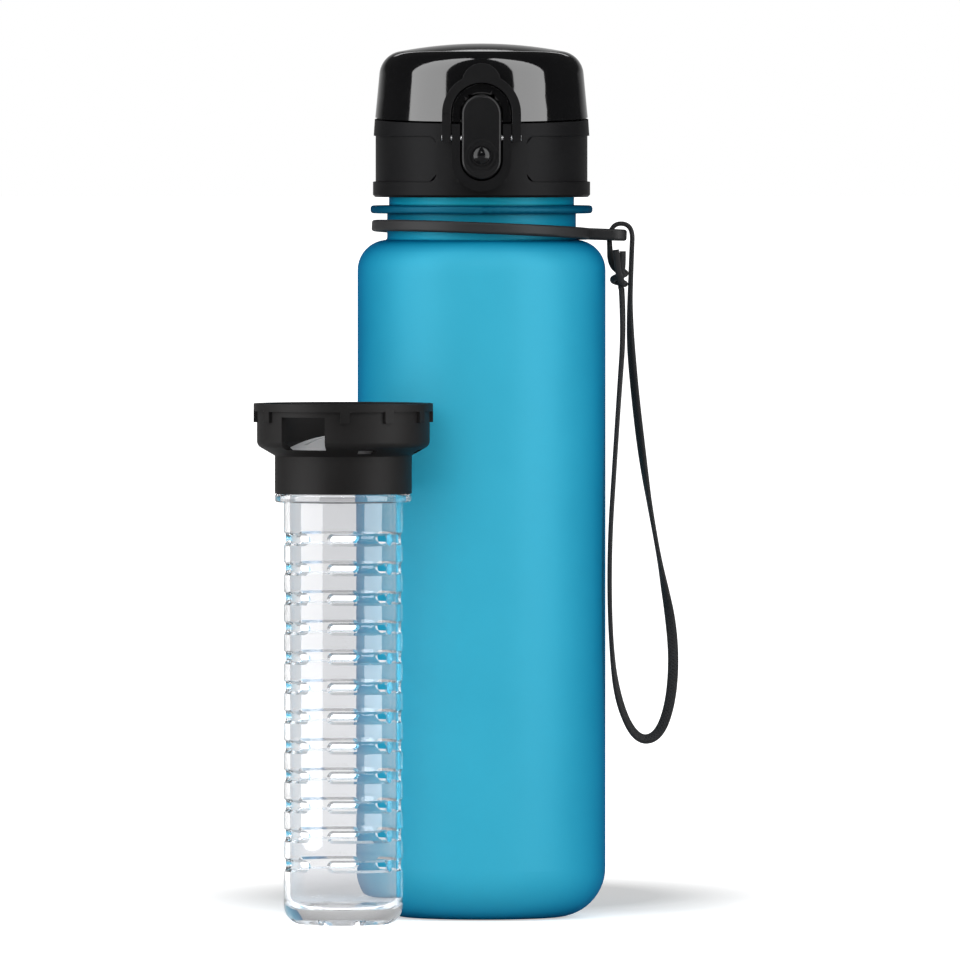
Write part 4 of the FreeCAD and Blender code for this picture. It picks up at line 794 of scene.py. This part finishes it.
# World: white for what the camera sees, dimmer through clear plastic so that its walls show. It is
# pale only along the horizon behind for what polished faces mirror, and a low fill for the rest.
low_behind = (0.0, 1.0, -0.8)
fill_light = 0.45
world = bpy.data.worlds.new("studio")
bpy.context.scene.world = world
world.use_nodes = True
world_nodes = world.node_tree.nodes
world_links = world.node_tree.links
backdrop = world_nodes["Background"]
backdrop.inputs["Color"].default_value = (1.0, 1.0, 1.0, 1.0)
world_ray = world_nodes.new("ShaderNodeLightPath")
direction = world_nodes.new("ShaderNodeTexCoord")
backwards = world_nodes.new("ShaderNodeVectorMath")
backwards.operation = "DOT_PRODUCT"
backwards.inputs[1].default_value = low_behind
world_links.new(direction.outputs["Generated"], backwards.inputs[0])
behind = world_nodes.new("ShaderNodeMapRange")
behind.inputs["From Min"].default_value = 0.68
behind.inputs["From Max"].default_value = 0.97
behind.inputs["To Min"].default_value = 0.04
behind.inputs["To Max"].default_value = 0.55
world_links.new(backwards.outputs["Value"], behind.inputs["Value"])
mirrored = light_math(world.node_tree, "MULTIPLY", world_ray.outputs["Is Glossy Ray"],
                      behind.outputs["Result"])
scattered = light_math(world.node_tree, "GREATER_THAN", world_ray.outputs["Diffuse Depth"], half_bounce)
fill = light_math(world.node_tree, "MULTIPLY", scattered, fill_light)
softer = light_math(world.node_tree, "MAXIMUM", mirrored, fill)
strength = light_math(world.node_tree, "MAXIMUM", softer, seen_directly(world.node_tree, world_ray))
world_links.new(strength, backdrop.inputs["Strength"])


# Lamps: a broad soft box over the camera, a wing at each side and a low far light from behind. The
# left wing shines through the infuser's head and strainer, so that their shadow stays off the bottle.
# The panels and the thumb lamp show only as reflections, such as the bands up the polished cover.
def soft_box(name, place, aim, width, height, watts):
    """An area lamp of a size, turned towards a point."""
    lamp = bpy.data.lights.new(name, "AREA")
    lamp.shape = "RECTANGLE"
    lamp.size = width
    lamp.size_y = height
    lamp.energy = watts
    box = bpy.data.objects.new(name, lamp)
    box.location = place
    box.rotation_euler = (Vector(aim) - Vector(place)).to_track_quat("-Z", "Y").to_euler()
    bpy.context.scene.collection.objects.link(box)
    box.visible_camera = False
    box.visible_transmission = False
    return box


object_middle = (0.0, 0.0, 0.12)
key_box = soft_box("key_box", (0.0, -1.8, 1.15), aim=object_middle, width=2.4, height=1.4, watts=15.0)
left_wing = soft_box("left_wing", (-1.8, -0.84, 0.7), aim=object_middle, width=1.0, height=1.0, watts=14.0)
right_wing = soft_box("right_wing", (1.8, -0.84, 0.7), aim=object_middle, width=1.0, height=1.0, watts=11.0)
unshading = bpy.data.collections.new("unshading")
for piece in (head, strainer):
    unshading.objects.link(piece)
for member in unshading.collection_objects:
    member.light_linking.link_state = "EXCLUDE"
left_wing.light_linking.blocker_collection = unshading
back_light = bpy.data.lights.new("back_light", "SUN")
back_light.energy = 1.1
back_light.angle = math.radians(40)
back = bpy.data.objects.new("back_light", back_light)
back_heading = Vector((0.0, -1.0, -0.14))
back.rotation_euler = back_heading.to_track_quat("-Z", "Y").to_euler()
bpy.context.scene.collection.objects.link(back)
back.visible_camera = False
back.visible_transmission = False
for light in (key_box, left_wing, right_wing, back):
    light.visible_glossy = False
panels = [
    soft_box("left_panel", (-0.485, -0.26, 2.2), aim=(0.0, 0.0, 2.2), width=0.45, height=4.8, watts=45.0),
    soft_box("right_panel", (0.45, -0.315, 2.2), aim=(0.0, 0.0, 2.2), width=0.39, height=4.8, watts=39.0),
    soft_box("back_panel", (0.0, 1.6, 0.87), aim=(0.0, 0.0, 0.22), width=1.0, height=0.12, watts=0.5),
    soft_box("thumb_lamp", (0.0, -1.2, 1.0), aim=(0.0, 0.0, 0.2), width=0.25, height=0.2, watts=3.4),
]
for panel in panels:
    panel.visible_diffuse = False

# Camera: a long lens a few metres away, a little above the middle of the bottle, at the angle and
# scale of the photo.
pixels = 960
pixels_per_metre = 3815.0
camera_data = bpy.data.cameras.new("camera")
camera = bpy.data.objects.new("camera", camera_data)
bpy.context.scene.collection.objects.link(camera)
camera_place = Vector((-0.0004, -5.0, 0.22))
camera_aim = Vector((-0.0004, 0.0, 0.1145))
camera.location = camera_place
camera.rotation_euler = (camera_aim - camera_place).to_track_quat("-Z", "Y").to_euler()
camera_data.sensor_width = 36.0
camera_data.lens = (pixels_per_metre * (camera_aim - camera_place).length
                    * camera_data.sensor_width / pixels)
camera_data.clip_end = 200.0
bpy.context.scene.camera = camera
bpy.context.scene.view_settings.view_transform = "Standard"
